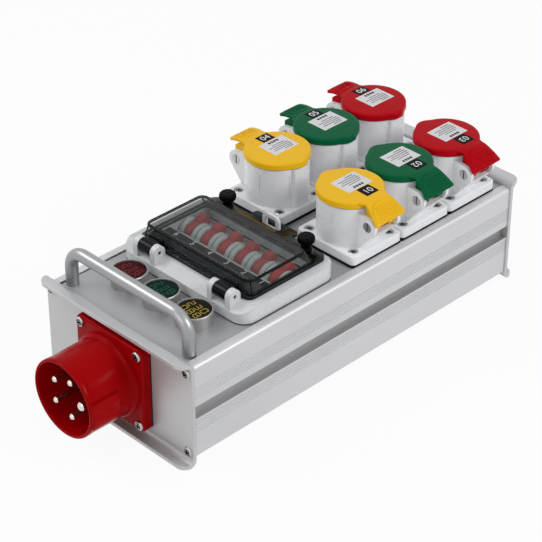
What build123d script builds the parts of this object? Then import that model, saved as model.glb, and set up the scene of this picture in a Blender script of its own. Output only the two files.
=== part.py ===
from build123d import *
import math
import os

os.makedirs("parts", exist_ok=True)

# A portable power distribution box, in millimetres. +X runs along the case away from the red supply
# inlet, +Z is up, and the origin is the middle of the outline on the surface that the box stands on.

# Extruded case
CASE_LENGTH = 336.0
CASE_WIDTH = 153.0
CASE_HEIGHT = 79.0
RAIL_WALL = 2.0
RAIL_CORNER_RADIUS = 3.0
PANEL_THICKNESS = 2.5
PANEL_DROP = 1.2
PANEL_SIDE_INSET = 6.7
PANEL_HALF_WIDTH = CASE_WIDTH / 2 - PANEL_SIDE_INSET
PANEL_SIDE_GAP = 0.2
PANEL_SLOT_PLAY = 0.1
RAIL_LIP_COVER = 1.5
LEDGE_THICKNESS = 2.0
LEDGE_REACH = 3.2
GROOVE_HEIGHT = 10.8
GROOVE_DEPTH = 5.0
RIB_COUNT = 5
RIB_PITCH = 2.2
RIB_WIDTH = 0.8
RIB_DEPTH = 0.5
RIB_GAP_ABOVE = 6.5
RIB_GAP_BELOW = 2.5

# End plates, bent outward at the top and the bottom
PLATE_THICKNESS = 3.0
PLATE_OVERHANG = 1.0
FLANGE_REACH = 9.0
FLANGE_DROP = 6.0
FLANGE_RISE = 5.0
BEND_INNER_RADIUS = 4.0
BEND_OUTER_RADIUS = 6.0
FLANGE_CORNER_RADIUS = 8.0
PLATE_SCREW_SIDE_INSET = 4.0
PLATE_SCREW_EDGE_INSET = 5.6
PLATE_SCREW_RADIUS = 1.5
PLATE_SCREW_DEPTH = 12.0
PORT_WALL = 1.7

# Screws
SCREW_PLAY = 0.15
THREAD_PLAY = 0.05
HEAD_RADIUS_RATIO = 2.0
HEAD_HEIGHT = 1.9
CROSS_WIDTH = 0.9
CROSS_DEPTH = 1.0

# Bar handle
HANDLE_SETBACK = 9.0
HANDLE_SIDE_INSET = 14.0
HANDLE_HALF_SPAN = CASE_WIDTH / 2 - HANDLE_SIDE_INSET
HANDLE_RISE = 29.0
HANDLE_RADIUS = 5.0
HANDLE_BEND = 15.0
HANDLE_SCREW_RADIUS = 2.0
HANDLE_SCREW_DEPTH = 12.0
HANDLE_SCREW_HEAD_RADIUS = 3.5

# Supply inlet
INLET_MARGIN = 4.0
INLET_OFFSET = 0.5
INLET_HEIGHT = CASE_HEIGHT / 2 + INLET_OFFSET
INLET_FLANGE = CASE_HEIGHT - 2 * INLET_MARGIN
INLET_FLANGE_THICKNESS = 7.5
INLET_FLANGE_CORNER = 5.0
INLET_GASKET = 1.0
COLLAR_LENGTH = 44.0
COLLAR_MARGIN = 4.5
COLLAR_RADIUS = INLET_FLANGE / 2 - COLLAR_MARGIN
COLLAR_WALL = 2.5
COLLAR_BASE_STEP = 2.0
COLLAR_BASE_RADIUS = COLLAR_RADIUS + COLLAR_BASE_STEP
COLLAR_BASE_LENGTH = 4.0
COLLAR_KEY_WIDTH = 6.0
COLLAR_KEY_HEIGHT = 2.4
INLET_SHOULDER = 8.0
INLET_BARREL_STEP = 4.0
INLET_BARREL_RADIUS = COLLAR_RADIUS - INLET_BARREL_STEP
INLET_BARREL_DEPTH = 16.0
INLET_BARREL_WALL = 3.0
CARRIER_PLAY = 0.1
INLET_CARRIER_RADIUS = INLET_BARREL_RADIUS - INLET_BARREL_WALL - CARRIER_PLAY
CARRIER_STEP = 3.0
INLET_SCREW_INSET = 5.3
INLET_SCREW_HALF_PITCH = INLET_FLANGE / 2 - INLET_SCREW_INSET
INLET_SCREW_RADIUS = 1.8
PIN_CIRCLE_INSET = 8.4
PIN_CIRCLE_RADIUS = INLET_CARRIER_RADIUS - PIN_CIRCLE_INSET
PIN_RADIUS = 2.5
EARTH_PIN_RADIUS = 3.5
PIN_SETBACK = 3.0
PIN_TAIL = 6.0
PIN_COUNT = 5

# Round panel meters
METER_COUNT = 3
METER_X = 39.5
METER_PITCH = 34.6
METER_BEZEL_RADIUS = 14.0
METER_BEZEL_RISE = 10.0
METER_BEZEL_LIP = 1.6
METER_RECESS = 3.0
METER_LENS_THICKNESS = 2.0
METER_BARREL_RADIUS = 10.9
METER_BARREL_DEPTH = 28.0
METER_NUT_RADIUS = 15.0
METER_NUT_THICKNESS = 5.0

# Breaker window frame
FRAME_FRONT = 57.5
FRAME_REAR = 152.5
FRAME_SIDE_INSET = 10.0
FRAME_HALF_WIDTH = CASE_WIDTH / 2 - FRAME_SIDE_INSET
FRAME_CORNER = 12.0
FRAME_RISE = 12.0
FRAME_GASKET = 0.8
FRAME_SLOPE_RUN = 10.5
FRAME_SLOPE_DROP = 5.0
OPENING_MARGIN = 0.8
STRIP_FRONT = 94.2
STRIP_DEPTH = 6.6
STRIP_END_MARGIN = 0.6
STRIP_THICKNESS = 0.35
STRIP_CHAMFER = 0.1
CATCH_X = 150.3
CATCH_THICKNESS = 2.6
CATCH_HALF_WIDTH = 8.5
CATCH_LEG = 3.3
CATCH_RISE = 12.0
CATCH_CORNER = 5.0

# Hinged smoked cover
COVER_GAP = 0.3
COVER_FLANGE = 2.7
COVER_FRONT = 70.0
COVER_REAR = 149.5
COVER_HALF_WIDTH = 59.0
COVER_CORNER = 6.0
COVER_TAB_HALF_WIDTH = 22.0
COVER_TAB_REACH = 7.5
COVER_RISE = 26.0
COVER_BASE_FRONT = 73.0
COVER_BASE_REAR = 137.5
COVER_BASE_HALF_WIDTH = 57.5
COVER_TOP_FRONT = 73.8
COVER_TOP_REAR = 131.5
COVER_TOP_HALF_WIDTH = 54.8
COVER_BOX_CORNER = 5.0
COVER_WALL = 2.0
CATCH_SLOT_PLAY = 1.5
COVER_HINGE_X = 63.5
COVER_HINGE_RISE = 16.0
COVER_EAR_RADIUS = 5.5
COVER_EAR_THICKNESS = 5.0
COVER_HINGE_OUTER = 51.4
COVER_HINGE_LENGTH = 23.4
KNUCKLE_RADIUS = 5.8
KNUCKLE_SIDE_GAP = 0.4
KNUCKLE_CLEARANCE = 0.5
KNUCKLE_TOP = 20.5
COVER_PIN_RADIUS = 1.5
PIN_RUNNING_PLAY = 0.06
COVER_PIN_RECESS = 1.0
THUMB_X = 144.8
THUMB_Y = 41.6
THUMB_HEAD_RADIUS = 6.6
THUMB_NECK_RADIUS = 4.2
THUMB_NECK_HEIGHT = 6.0
THUMB_HEAD_BOTTOM = 15.3
THUMB_HEAD_TOP = 27.5
THUMB_SHANK_RADIUS = 2.0
THUMB_SHANK_PLAY = 0.3
THUMB_SHANK_LENGTH = 10.5
THUMB_BORE_RADIUS = 3.4
THUMB_BORE_DEPTH = 10.0
THUMB_FLUTES = 16
THUMB_FLUTE_RADIUS = 0.8

# Breakers on their rail
BREAKER_COUNT = 6
BREAKER_PITCH = 18.0
BREAKER_WIDTH = 17.7
BREAKER_X = 115.0
BREAKER_BASE_HALF_LENGTH = 40.5
BREAKER_SHOULDER = 44.0
BREAKER_NOSE_HALF_LENGTH = 22.5
BREAKER_NOSE_RISE = 6.0
BREAKER_HOOK_LENGTH = 3.2
BREAKER_HOOK_DROP = 3.0
RAIL_HALF_WIDTH = 17.5
RAIL_TOP_HAT_HALF_WIDTH = 12.5
DIN_HEIGHT = 7.5
DIN_THICKNESS = 1.0
DIN_HALF_LENGTH = 62.0
BRACKET_HEIGHT = 4.3
BRACKET_WIDTH = 6.0
TOGGLE_PIVOT_RISE = 2.0
TOGGLE_DRUM_RADIUS = 9.5
TOGGLE_DRUM_WIDTH = 10.6
TOGGLE_POCKET_PLAY = 0.4
TOGGLE_TIP_RADIUS = 16.5
TOGGLE_THICKNESS = 6.0
TOGGLE_REST_ANGLE = 38.0
TRUNNION_RADIUS = 1.5
TRUNNION_LENGTH = 1.6

# Outlets, in two mirrored rows with their hinges outward
OUTLET_COLUMNS = 3
OUTLET_X = 194.0
OUTLET_PITCH = 53.6
OUTLET_ROW_Y = 38.3
OUTLET_FLANGE_LENGTH = 53.0
OUTLET_FLANGE_WIDTH = 59.4
OUTLET_FLANGE_CORNER = 4.0
OUTLET_GASKET = 2.4
OUTLET_GASKET_PROUD = 0.2
OUTLET_FLANGE_RISE = 8.5
BARREL_RADIUS = 25.0
BARREL_RISE = 41.5
MOUTH_RADIUS = 23.5
MOUTH_RISE = 44.5
MOUTH_BORE = 21.8
SHROUD_GAP_FLOOR = 12.0
LOWER_BARREL_RADIUS = 22.2
LOWER_BARREL_DEPTH = 20.0
PANEL_HOLE_PLAY = 0.3
KEY_HALF_WIDTH = 8.0
KEY_REACH = 27.2
KEY_CORNER = 2.5
KEY_SLOT_HALF_WIDTH = 3.5
KEY_SLOT_REACH = 25.2
CARRIER_RADIUS = 18.6
CARRIER_RISE = 36.0
CONTACT_CIRCLE = 10.5
CONTACT_RISE = 24.0
CONTACT_TAIL = 4.0
CONTACT_HOLE = 2.7
EARTH_HOLE = 3.7
CONTACT_SLEEVE = 1.3
OUTLET_SCREW_DX = 19.2
OUTLET_SCREW_DY = 22.4
OUTLET_SCREW_RADIUS = 1.6
OUTLET_SCREW_POCKET = 4.1
OUTLET_SCREW_POCKET_DEPTH = 2.2
OUTLET_SCREW_TAIL = 3.0

# Lid hinges and lids
LID_HINGE_OUT = 30.7
LID_HINGE_RISE = 30.0
LID_EAR_RADIUS = 7.5
LID_BLOCK_HALF_WIDTH = 14.0
LID_EAR_THICKNESS = 3.2
LID_BLOCK_FOOT_OUT = 22.7
LID_BLOCK_INNER = 15.0
LID_BLOCK_TOP = 39.5
LID_SLOT_DROP = 5.6
LID_SLOT_INNER = 25.3
LID_PIN_RADIUS = 2.0
LID_PIN_HEAD_RADIUS = 3.8
LID_PIN_HEAD_THICKNESS = 1.2
LID_PIN_SLOT = 1.0
LID_RADIUS = 26.0
LID_WALL = 1.3
LID_TOP = 48.0
LID_SKIRT_BOTTOM = 42.2
LID_CEILING = 45.0
LID_KEY_HALF_WIDTH = 9.5
LID_KEY_REACH = 28.2
LUG_SIDE_GAP = 0.4
LUG_RADIUS = 5.0
LEVER_ROOT_OUT = 23.0
LEVER_SHOULDER_OUT = 33.0
LEVER_SHOULDER_RISE = 46.6
LEVER_KNEE_OUT = 38.8
LEVER_KNEE_RISE = 42.6
LEVER_TIP_OUT = 42.5
LEVER_TIP_RISE = 34.0
LEVER_THICKNESS = 2.4
LEVER_ROOT_HALF_WIDTH = 10.6
LEVER_TIP_HALF_WIDTH = 16.4
LEFT_LEVER_KNEE_RISE = 45.2
LEFT_LEVER_TIP_RISE = 40.5
LEFT_LEVER_TIP_HALF_WIDTH = 12.4
SPRING_RADIUS = 3.9
SPRING_HALF_LENGTH = 4.3
SPRING_PLAY = 0.5
SPRING_WIRE_GAP = 0.3

# Bars inside the case
BAR_LENGTH = 110.0
BAR_SECTION = 8.0
BAR_Y = 18.0
BAR_FOOT_HEIGHT = 6.0

# Places worked out from the sizes above
INLET_REACH = INLET_GASKET + INLET_FLANGE_THICKNESS + COLLAR_LENGTH
X_FRONT = -(CASE_LENGTH + FLANGE_REACH - INLET_REACH) / 2
X_REAR = X_FRONT + CASE_LENGTH
Z_LOW = FLANGE_DROP
Z_TOP = Z_LOW + CASE_HEIGHT
Z_MID = Z_LOW + CASE_HEIGHT / 2
HALF_WIDTH = CASE_WIDTH / 2
Z_SEAT = Z_TOP - PANEL_DROP
Z_UNDER = Z_SEAT - PANEL_THICKNESS
Z_FLOOR = Z_LOW + PANEL_DROP + PANEL_THICKNESS
Z_INLET = Z_LOW + INLET_HEIGHT
SLOT_END = PANEL_HALF_WIDTH + PANEL_SIDE_GAP
PLATE_HALF_WIDTH = HALF_WIDTH + PLATE_OVERHANG
PLATE_SCREW_Y = HALF_WIDTH - PLATE_SCREW_SIDE_INSET
PLATE_SCREW_HEIGHTS = (Z_LOW + PLATE_SCREW_EDGE_INSET, Z_TOP - PLATE_SCREW_EDGE_INSET)
PLATE_FACE_X = X_FRONT - PLATE_THICKNESS
INLET_FACE_X = PLATE_FACE_X - INLET_GASKET - INLET_FLANGE_THICKNESS
MOUTH_X = INLET_FACE_X - COLLAR_LENGTH
HANDLE_X = X_FRONT + HANDLE_SETBACK
Z_HANDLE = Z_TOP + HANDLE_RISE
Z_FRAME = Z_TOP + FRAME_RISE
COVER_AXIS = (X_FRONT + COVER_HINGE_X, Z_TOP + COVER_HINGE_RISE)
BREAKER_CENTRE = X_FRONT + BREAKER_X
Z_DIN = Z_FLOOR + BRACKET_HEIGHT
Z_BREAKER = Z_DIN + DIN_HEIGHT
Z_NOSE = Z_TOP + BREAKER_NOSE_RISE
TOGGLE_AXIS = (BREAKER_CENTRE, Z_TOP + TOGGLE_PIVOT_RISE)
OPENING_X = (
    BREAKER_CENTRE - BREAKER_NOSE_HALF_LENGTH - OPENING_MARGIN,
    BREAKER_CENTRE + BREAKER_NOSE_HALF_LENGTH + OPENING_MARGIN,
)
OPENING_HALF_WIDTH = BREAKER_COUNT * BREAKER_PITCH / 2 + OPENING_MARGIN
Z_LID_AXIS = Z_TOP + LID_HINGE_RISE


def span(middle, half):
    """Low and high value of a stretch given by its middle and its half length."""
    return (middle - half, middle + half)


def slab(x, y, z, mode=Mode.ADD):
    """A block between two corners, given as a pair of values along each axis."""
    size = [abs(pair[1] - pair[0]) for pair in (x, y, z)]
    middle = [sum(pair) / 2 for pair in (x, y, z)]
    with Locations(tuple(middle)):
        Box(*size, mode=mode)


def rod(axis, centre, radius, ends, mode=Mode.ADD):
    """A cylinder along an axis. centre holds the other two coordinates, in X, Y, Z order."""
    middle = sum(ends) / 2
    length = abs(ends[1] - ends[0])
    place = {
        "x": (middle, *centre),
        "y": (centre[0], middle, centre[1]),
        "z": (*centre, middle),
    }[axis]
    turn = {"x": (0, 90, 0), "y": (90, 0, 0), "z": (0, 0, 0)}[axis]
    with Locations(place):
        Cylinder(radius, length, rotation=turn, mode=mode)


def upright_screw(x, y, seat, radius, tip):
    """A cross-head screw that stands on z = seat and reaches down to z = tip."""
    head = radius * HEAD_RADIUS_RATIO
    top = seat + HEAD_HEIGHT
    rod("z", (x, y), head, (seat, top))
    rod("z", (x, y), radius, (tip, seat))
    groove = (top - CROSS_DEPTH, top)
    slab(span(x, head * 0.6), span(y, CROSS_WIDTH / 2), groove, Mode.SUBTRACT)
    slab(span(x, CROSS_WIDTH / 2), span(y, head * 0.6), groove, Mode.SUBTRACT)


def level_screw(y, z, seat, out, radius, tip):
    """A cross-head screw along X with its head on x = seat, facing out (-1 or 1)."""
    head = radius * HEAD_RADIUS_RATIO
    top = seat + out * HEAD_HEIGHT
    rod("x", (y, z), head, (seat, top))
    rod("x", (y, z), radius, (tip, seat))
    groove = (top - out * CROSS_DEPTH, top)
    slab(groove, span(y, head * 0.6), span(z, CROSS_WIDTH / 2), Mode.SUBTRACT)
    slab(groove, span(y, CROSS_WIDTH / 2), span(z, head * 0.6), Mode.SUBTRACT)


def bulge(x, row, side, half, reach, z):
    """A rounded ridge that stands out on the side of an outlet away from its hinge."""
    with BuildSketch(Plane.XY.offset(z[0])) as ridge:
        with Locations((x, row - side * reach / 2)):
            RectangleRounded(2 * half, reach, KEY_CORNER)
    extrude(ridge.sketch, amount=z[1] - z[0])


def strip_below(points, thickness):
    """Closed outline of a bent strip whose upper side runs through the points."""
    lower = []
    for index, (u, w) in enumerate(points):
        before = points[max(index - 1, 0)]
        after = points[min(index + 1, len(points) - 1)]
        run = math.dist(before, after)
        down = (after[0] - before[0]) / run
        inward = (before[1] - after[1]) / run
        lower.append((u - thickness * inward, w - thickness * down))
    return list(points) + lower[::-1]


def height_on(points, u):
    """Height of a line through the points, at u."""
    for low, high in zip(points[:-1], points[1:]):
        if low[0] <= u <= high[0]:
            return low[1] + (high[1] - low[1]) * (u - low[0]) / (high[0] - low[0])
    return points[-1][1]


def write(piece, name):
    """Label a finished piece and write its file."""
    piece.part.label = name
    export_step(piece.part, f"parts/{name}.step")


# Side rails: a wall with a wide mid groove, fine ribs beside it, and a slotted edge for each panel
GROOVE_BAND = span(Z_MID, GROOVE_HEIGHT / 2)
PORT_RADIUS = PLATE_SCREW_RADIUS + PORT_WALL
for name, side in (("side_rail_right", -1), ("side_rail_left", 1)):
    with BuildPart() as rail:
        with BuildSketch(Plane.YZ.offset(X_FRONT)) as section:
            with Locations((side * (HALF_WIDTH - RAIL_WALL / 2), Z_MID)):
                Rectangle(RAIL_WALL, CASE_HEIGHT)
            bump_depth = GROOVE_DEPTH + RAIL_WALL
            with Locations((side * (HALF_WIDTH - bump_depth / 2), Z_MID)):
                Rectangle(bump_depth, GROOVE_HEIGHT + 2 * RAIL_WALL)
            for edge, inward in ((Z_TOP, -1), (Z_LOW, 1)):
                slot_low = edge + inward * (PANEL_DROP + PANEL_THICKNESS)
                bar_end = slot_low + inward * LEDGE_THICKNESS
                with Locations((side * (HALF_WIDTH + SLOT_END) / 2, (edge + bar_end) / 2)):
                    Rectangle(HALF_WIDTH - SLOT_END, abs(bar_end - edge))
                lip_end = edge + inward * (PANEL_DROP - PANEL_SLOT_PLAY)
                with Locations((side * (SLOT_END - RAIL_LIP_COVER / 2), (edge + lip_end) / 2)):
                    Rectangle(RAIL_LIP_COVER, abs(lip_end - edge))
                with Locations((side * (SLOT_END - LEDGE_REACH / 2), (slot_low + bar_end) / 2)):
                    Rectangle(LEDGE_REACH, LEDGE_THICKNESS)
            with Locations(*[(side * PLATE_SCREW_Y, z) for z in PLATE_SCREW_HEIGHTS]):
                Circle(PORT_RADIUS)
                Circle(PLATE_SCREW_RADIUS + THREAD_PLAY, mode=Mode.SUBTRACT)
            with Locations((side * (HALF_WIDTH - GROOVE_DEPTH / 2), Z_MID)):
                Rectangle(GROOVE_DEPTH, GROOVE_HEIGHT, mode=Mode.SUBTRACT)
            for index in range(RIB_COUNT):
                above = GROOVE_BAND[1] + RIB_GAP_ABOVE + index * RIB_PITCH
                below = GROOVE_BAND[0] - RIB_GAP_BELOW - index * RIB_PITCH
                with Locations((side * (HALF_WIDTH - RIB_DEPTH / 2), above)):
                    Rectangle(RIB_DEPTH, RIB_WIDTH, mode=Mode.SUBTRACT)
                with Locations((side * (HALF_WIDTH - RIB_DEPTH / 2), below)):
                    Rectangle(RIB_DEPTH, RIB_WIDTH, mode=Mode.SUBTRACT)
            with Locations((0, Z_MID)):
                RectangleRounded(CASE_WIDTH, CASE_HEIGHT, RAIL_CORNER_RADIUS, mode=Mode.INTERSECT)
        extrude(amount=CASE_LENGTH)
    write(rail, name)


# Places of what stands on the top panel
METER_ROW = [(index - (METER_COUNT - 1) / 2) * METER_PITCH for index in range(METER_COUNT)]
METER_CENTRE_X = X_FRONT + METER_X
OUTLETS = [
    (X_FRONT + OUTLET_X + column * OUTLET_PITCH, side)
    for side in (-1, 1)
    for column in range(OUTLET_COLUMNS)
]
OUTLET_SCREWS = [
    (x + dx, side * OUTLET_ROW_Y + dy)
    for x, side in OUTLETS
    for dx in (-OUTLET_SCREW_DX, OUTLET_SCREW_DX)
    for dy in (-OUTLET_SCREW_DY, OUTLET_SCREW_DY)
]

with BuildPart() as top_panel:
    slab((X_FRONT, X_REAR), span(0, PANEL_HALF_WIDTH), (Z_UNDER, Z_SEAT))
    slab(OPENING_X, span(0, OPENING_HALF_WIDTH), (Z_UNDER, Z_SEAT), Mode.SUBTRACT)
    for y in METER_ROW:
        rod("z", (METER_CENTRE_X, y), METER_BARREL_RADIUS + PANEL_HOLE_PLAY, (Z_UNDER, Z_SEAT), Mode.SUBTRACT)
    for side in (-1, 1):
        hole = HANDLE_SCREW_RADIUS + SCREW_PLAY
        rod("z", (HANDLE_X, side * HANDLE_HALF_SPAN), hole, (Z_UNDER, Z_SEAT), Mode.SUBTRACT)
        hole = THUMB_BORE_RADIUS
        rod("z", (X_FRONT + THUMB_X, side * THUMB_Y), hole, (Z_UNDER, Z_SEAT), Mode.SUBTRACT)
    for x, side in OUTLETS:
        hole = LOWER_BARREL_RADIUS + PANEL_HOLE_PLAY
        rod("z", (x, side * OUTLET_ROW_Y), hole, (Z_UNDER, Z_SEAT), Mode.SUBTRACT)
    for place in OUTLET_SCREWS:
        rod("z", place, OUTLET_SCREW_RADIUS + SCREW_PLAY, (Z_UNDER, Z_SEAT), Mode.SUBTRACT)
write(top_panel, "top_panel")

with BuildPart() as bottom_panel:
    slab((X_FRONT, X_REAR), span(0, PANEL_HALF_WIDTH), (Z_FLOOR - PANEL_THICKNESS, Z_FLOOR))
write(bottom_panel, "bottom_panel")


# End plates
PLATE_TOP = Z_TOP + FLANGE_RISE
for name, face, out in (("front_plate", X_FRONT, -1), ("rear_plate", X_REAR, 1)):
    web = face + out * PLATE_THICKNESS
    tip = web + out * FLANGE_REACH
    with BuildPart() as plate:
        with BuildSketch(Plane.XZ.offset(-PLATE_HALF_WIDTH)) as profile:
            with BuildLine():
                Polyline(
                    (face, 0),
                    (tip, 0),
                    (tip, PLATE_THICKNESS),
                    (web, PLATE_THICKNESS),
                    (web, PLATE_TOP - PLATE_THICKNESS),
                    (tip, PLATE_TOP - PLATE_THICKNESS),
                    (tip, PLATE_TOP),
                    (face, PLATE_TOP),
                    close=True,
                )
            make_face()
            corners = profile.vertices()
            fillet(corners.filter_by(lambda v: abs(v.X - web) < 0.01), BEND_INNER_RADIUS)
            corners = profile.vertices()
            fillet(corners.filter_by(lambda v: abs(v.X - face) < 0.01 and (v.Y < 0.01 or v.Y > PLATE_TOP - 0.01)),
                   BEND_OUTER_RADIUS)
        extrude(amount=2 * PLATE_HALF_WIDTH)
        tips = plate.edges().filter_by(Axis.Z).filter_by(lambda e: abs(e.center().X - tip) < 0.01)
        fillet(tips, FLANGE_CORNER_RADIUS)
        for y in (-PLATE_SCREW_Y, PLATE_SCREW_Y):
            for z in PLATE_SCREW_HEIGHTS:
                rod("x", (y, z), PLATE_SCREW_RADIUS + SCREW_PLAY, (face, web), Mode.SUBTRACT)
        if out < 0:
            rod("x", (0, Z_INLET), INLET_BARREL_RADIUS + PANEL_HOLE_PLAY, (face, web), Mode.SUBTRACT)
            for y in (-INLET_SCREW_HALF_PITCH, INLET_SCREW_HALF_PITCH):
                for dz in (-INLET_SCREW_HALF_PITCH, INLET_SCREW_HALF_PITCH):
                    rod("x", (y, Z_INLET + dz), INLET_SCREW_RADIUS + SCREW_PLAY, (face, web), Mode.SUBTRACT)
    write(plate, name)

with BuildPart() as end_plate_screws:
    for face, out in ((X_FRONT, -1), (X_REAR, 1)):
        for y in (-PLATE_SCREW_Y, PLATE_SCREW_Y):
            for z in PLATE_SCREW_HEIGHTS:
                tip = face - out * PLATE_SCREW_DEPTH
                level_screw(y, z, face + out * PLATE_THICKNESS, out, PLATE_SCREW_RADIUS, tip)
write(end_plate_screws, "end_plate_screws")


# Bar handle, screwed on from under the top panel
with BuildPart() as handle:
    with BuildLine() as route:
        FilletPolyline(
            (HANDLE_X, -HANDLE_HALF_SPAN, Z_SEAT),
            (HANDLE_X, -HANDLE_HALF_SPAN, Z_HANDLE),
            (HANDLE_X, HANDLE_HALF_SPAN, Z_HANDLE),
            (HANDLE_X, HANDLE_HALF_SPAN, Z_SEAT),
            radius=HANDLE_BEND,
        )
    with BuildSketch(Plane((HANDLE_X, -HANDLE_HALF_SPAN, Z_SEAT))):
        Circle(HANDLE_RADIUS)
    sweep()
    for side in (-1, 1):
        bore = (Z_SEAT, Z_SEAT + HANDLE_SCREW_DEPTH)
        place = (HANDLE_X, side * HANDLE_HALF_SPAN)
        rod("z", place, HANDLE_SCREW_RADIUS + THREAD_PLAY, bore, Mode.SUBTRACT)
write(handle, "handle")

with BuildPart() as handle_screws:
    for side in (-1, 1):
        place = (HANDLE_X, side * HANDLE_HALF_SPAN)
        rod("z", place, HANDLE_SCREW_HEAD_RADIUS, (Z_UNDER - HEAD_HEIGHT, Z_UNDER))
        rod("z", place, HANDLE_SCREW_RADIUS, (Z_UNDER, Z_SEAT + HANDLE_SCREW_DEPTH - SCREW_PLAY))
write(handle_screws, "handle_screws")


# Supply inlet: flanged collar, pin carrier put in from behind, five pins
FLANGE_BACK_X = PLATE_FACE_X - INLET_GASKET
SHOULDER_X = INLET_FACE_X - INLET_SHOULDER
BARREL_END_X = X_FRONT + INLET_BARREL_DEPTH
INLET_SCREW_PLACES = [
    (y, Z_INLET + dz)
    for y in (-INLET_SCREW_HALF_PITCH, INLET_SCREW_HALF_PITCH)
    for dz in (-INLET_SCREW_HALF_PITCH, INLET_SCREW_HALF_PITCH)
]
PINS = []
for index in range(PIN_COUNT):
    angle = math.pi + index * 2 * math.pi / PIN_COUNT
    place = (PIN_CIRCLE_RADIUS * math.cos(angle), Z_INLET + PIN_CIRCLE_RADIUS * math.sin(angle))
    PINS.append((place, EARTH_PIN_RADIUS if index == 0 else PIN_RADIUS))

with BuildPart() as inlet_gasket:
    with BuildSketch(Plane.YZ.offset(FLANGE_BACK_X)):
        with Locations((0, Z_INLET)):
            RectangleRounded(INLET_FLANGE, INLET_FLANGE, INLET_FLANGE_CORNER)
            Circle(INLET_BARREL_RADIUS + PANEL_HOLE_PLAY, mode=Mode.SUBTRACT)
        with Locations(*INLET_SCREW_PLACES):
            Circle(INLET_SCREW_RADIUS + SCREW_PLAY, mode=Mode.SUBTRACT)
    extrude(amount=INLET_GASKET)
write(inlet_gasket, "inlet_gasket")

with BuildPart() as inlet_housing:
    with BuildSketch(Plane.YZ.offset(INLET_FACE_X)):
        with Locations((0, Z_INLET)):
            RectangleRounded(INLET_FLANGE, INLET_FLANGE, INLET_FLANGE_CORNER)
    extrude(amount=INLET_FLANGE_THICKNESS)
    front_face = inlet_housing.faces().sort_by(Axis.X)[0]
    fillet(front_face.edges(), INLET_FLANGE_THICKNESS / 4)
    rod("x", (0, Z_INLET), COLLAR_BASE_RADIUS, (INLET_FACE_X - COLLAR_BASE_LENGTH, INLET_FACE_X))
    rod("x", (0, Z_INLET), COLLAR_RADIUS, (MOUTH_X, INLET_FACE_X))
    rod("x", (0, Z_INLET), INLET_BARREL_RADIUS, (FLANGE_BACK_X, BARREL_END_X))
    key_y = (-COLLAR_RADIUS - COLLAR_KEY_HEIGHT, -COLLAR_RADIUS + COLLAR_WALL)
    slab((MOUTH_X + COLLAR_WALL, INLET_FACE_X), key_y, span(Z_INLET, COLLAR_KEY_WIDTH / 2))
    rod("x", (0, Z_INLET), COLLAR_RADIUS - COLLAR_WALL, (MOUTH_X, SHOULDER_X), Mode.SUBTRACT)
    bore = INLET_CARRIER_RADIUS + CARRIER_PLAY
    rod("x", (0, Z_INLET), bore, (SHOULDER_X, BARREL_END_X), Mode.SUBTRACT)
    for place in INLET_SCREW_PLACES:
        rod("x", place, INLET_SCREW_RADIUS + SCREW_PLAY, (INLET_FACE_X, FLANGE_BACK_X), Mode.SUBTRACT)
write(inlet_housing, "inlet_housing")

with BuildPart() as inlet_pin_carrier:
    rod("x", (0, Z_INLET), INLET_CARRIER_RADIUS, (SHOULDER_X, BARREL_END_X))
    rod("x", (0, Z_INLET), INLET_BARREL_RADIUS, (BARREL_END_X, BARREL_END_X + CARRIER_STEP))
    for place, radius in PINS:
        rod("x", place, radius + THREAD_PLAY, (SHOULDER_X, BARREL_END_X + CARRIER_STEP), Mode.SUBTRACT)
write(inlet_pin_carrier, "inlet_pin_carrier")

with BuildPart() as inlet_pins:
    for place, radius in PINS:
        rod("x", place, radius, (MOUTH_X + PIN_SETBACK, BARREL_END_X + CARRIER_STEP + PIN_TAIL))
    pin_tips = inlet_pins.edges().filter_by(GeomType.CIRCLE).filter_by(
        lambda e: e.center().X < MOUTH_X + PIN_SETBACK + THREAD_PLAY
    )
    chamfer(pin_tips, PIN_RADIUS / 3)
write(inlet_pins, "inlet_pins")

with BuildPart() as inlet_screws:
    for y, z in INLET_SCREW_PLACES:
        level_screw(y, z, INLET_FACE_X, -1, INLET_SCREW_RADIUS, X_FRONT + 2 * HEAD_HEIGHT)
write(inlet_screws, "inlet_screws")


# Round panel meters
METER_TOP = Z_TOP + METER_BEZEL_RISE
for index, y in enumerate(METER_ROW):
    with BuildPart() as meter:
        rod("z", (METER_CENTRE_X, y), METER_BEZEL_RADIUS, (Z_SEAT, METER_TOP))
        rim = meter.edges().filter_by(GeomType.CIRCLE).sort_by(Axis.Z)[-1]
        fillet(rim, METER_BEZEL_LIP / 2)
        recess = METER_BEZEL_RADIUS - METER_BEZEL_LIP
        rod("z", (METER_CENTRE_X, y), recess, (METER_TOP - METER_RECESS, METER_TOP), Mode.SUBTRACT)
        rod("z", (METER_CENTRE_X, y), METER_BARREL_RADIUS, (Z_SEAT - METER_BARREL_DEPTH, Z_SEAT))
    write(meter, f"meter_body_{index + 1}")

with BuildPart() as meter_lenses:
    for y in METER_ROW:
        lens_radius = METER_BEZEL_RADIUS - METER_BEZEL_LIP - CARRIER_PLAY
        floor = METER_TOP - METER_RECESS
        rod("z", (METER_CENTRE_X, y), lens_radius, (floor, floor + METER_LENS_THICKNESS))
write(meter_lenses, "meter_lenses")

with BuildPart() as meter_nuts:
    with BuildSketch(Plane.XY.offset(Z_UNDER - METER_NUT_THICKNESS)):
        with Locations(*[(METER_CENTRE_X, y) for y in METER_ROW]):
            RegularPolygon(METER_NUT_RADIUS, 6)
            Circle(METER_BARREL_RADIUS + CARRIER_PLAY, mode=Mode.SUBTRACT)
    extrude(amount=METER_NUT_THICKNESS)
write(meter_nuts, "meter_nuts")


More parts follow.
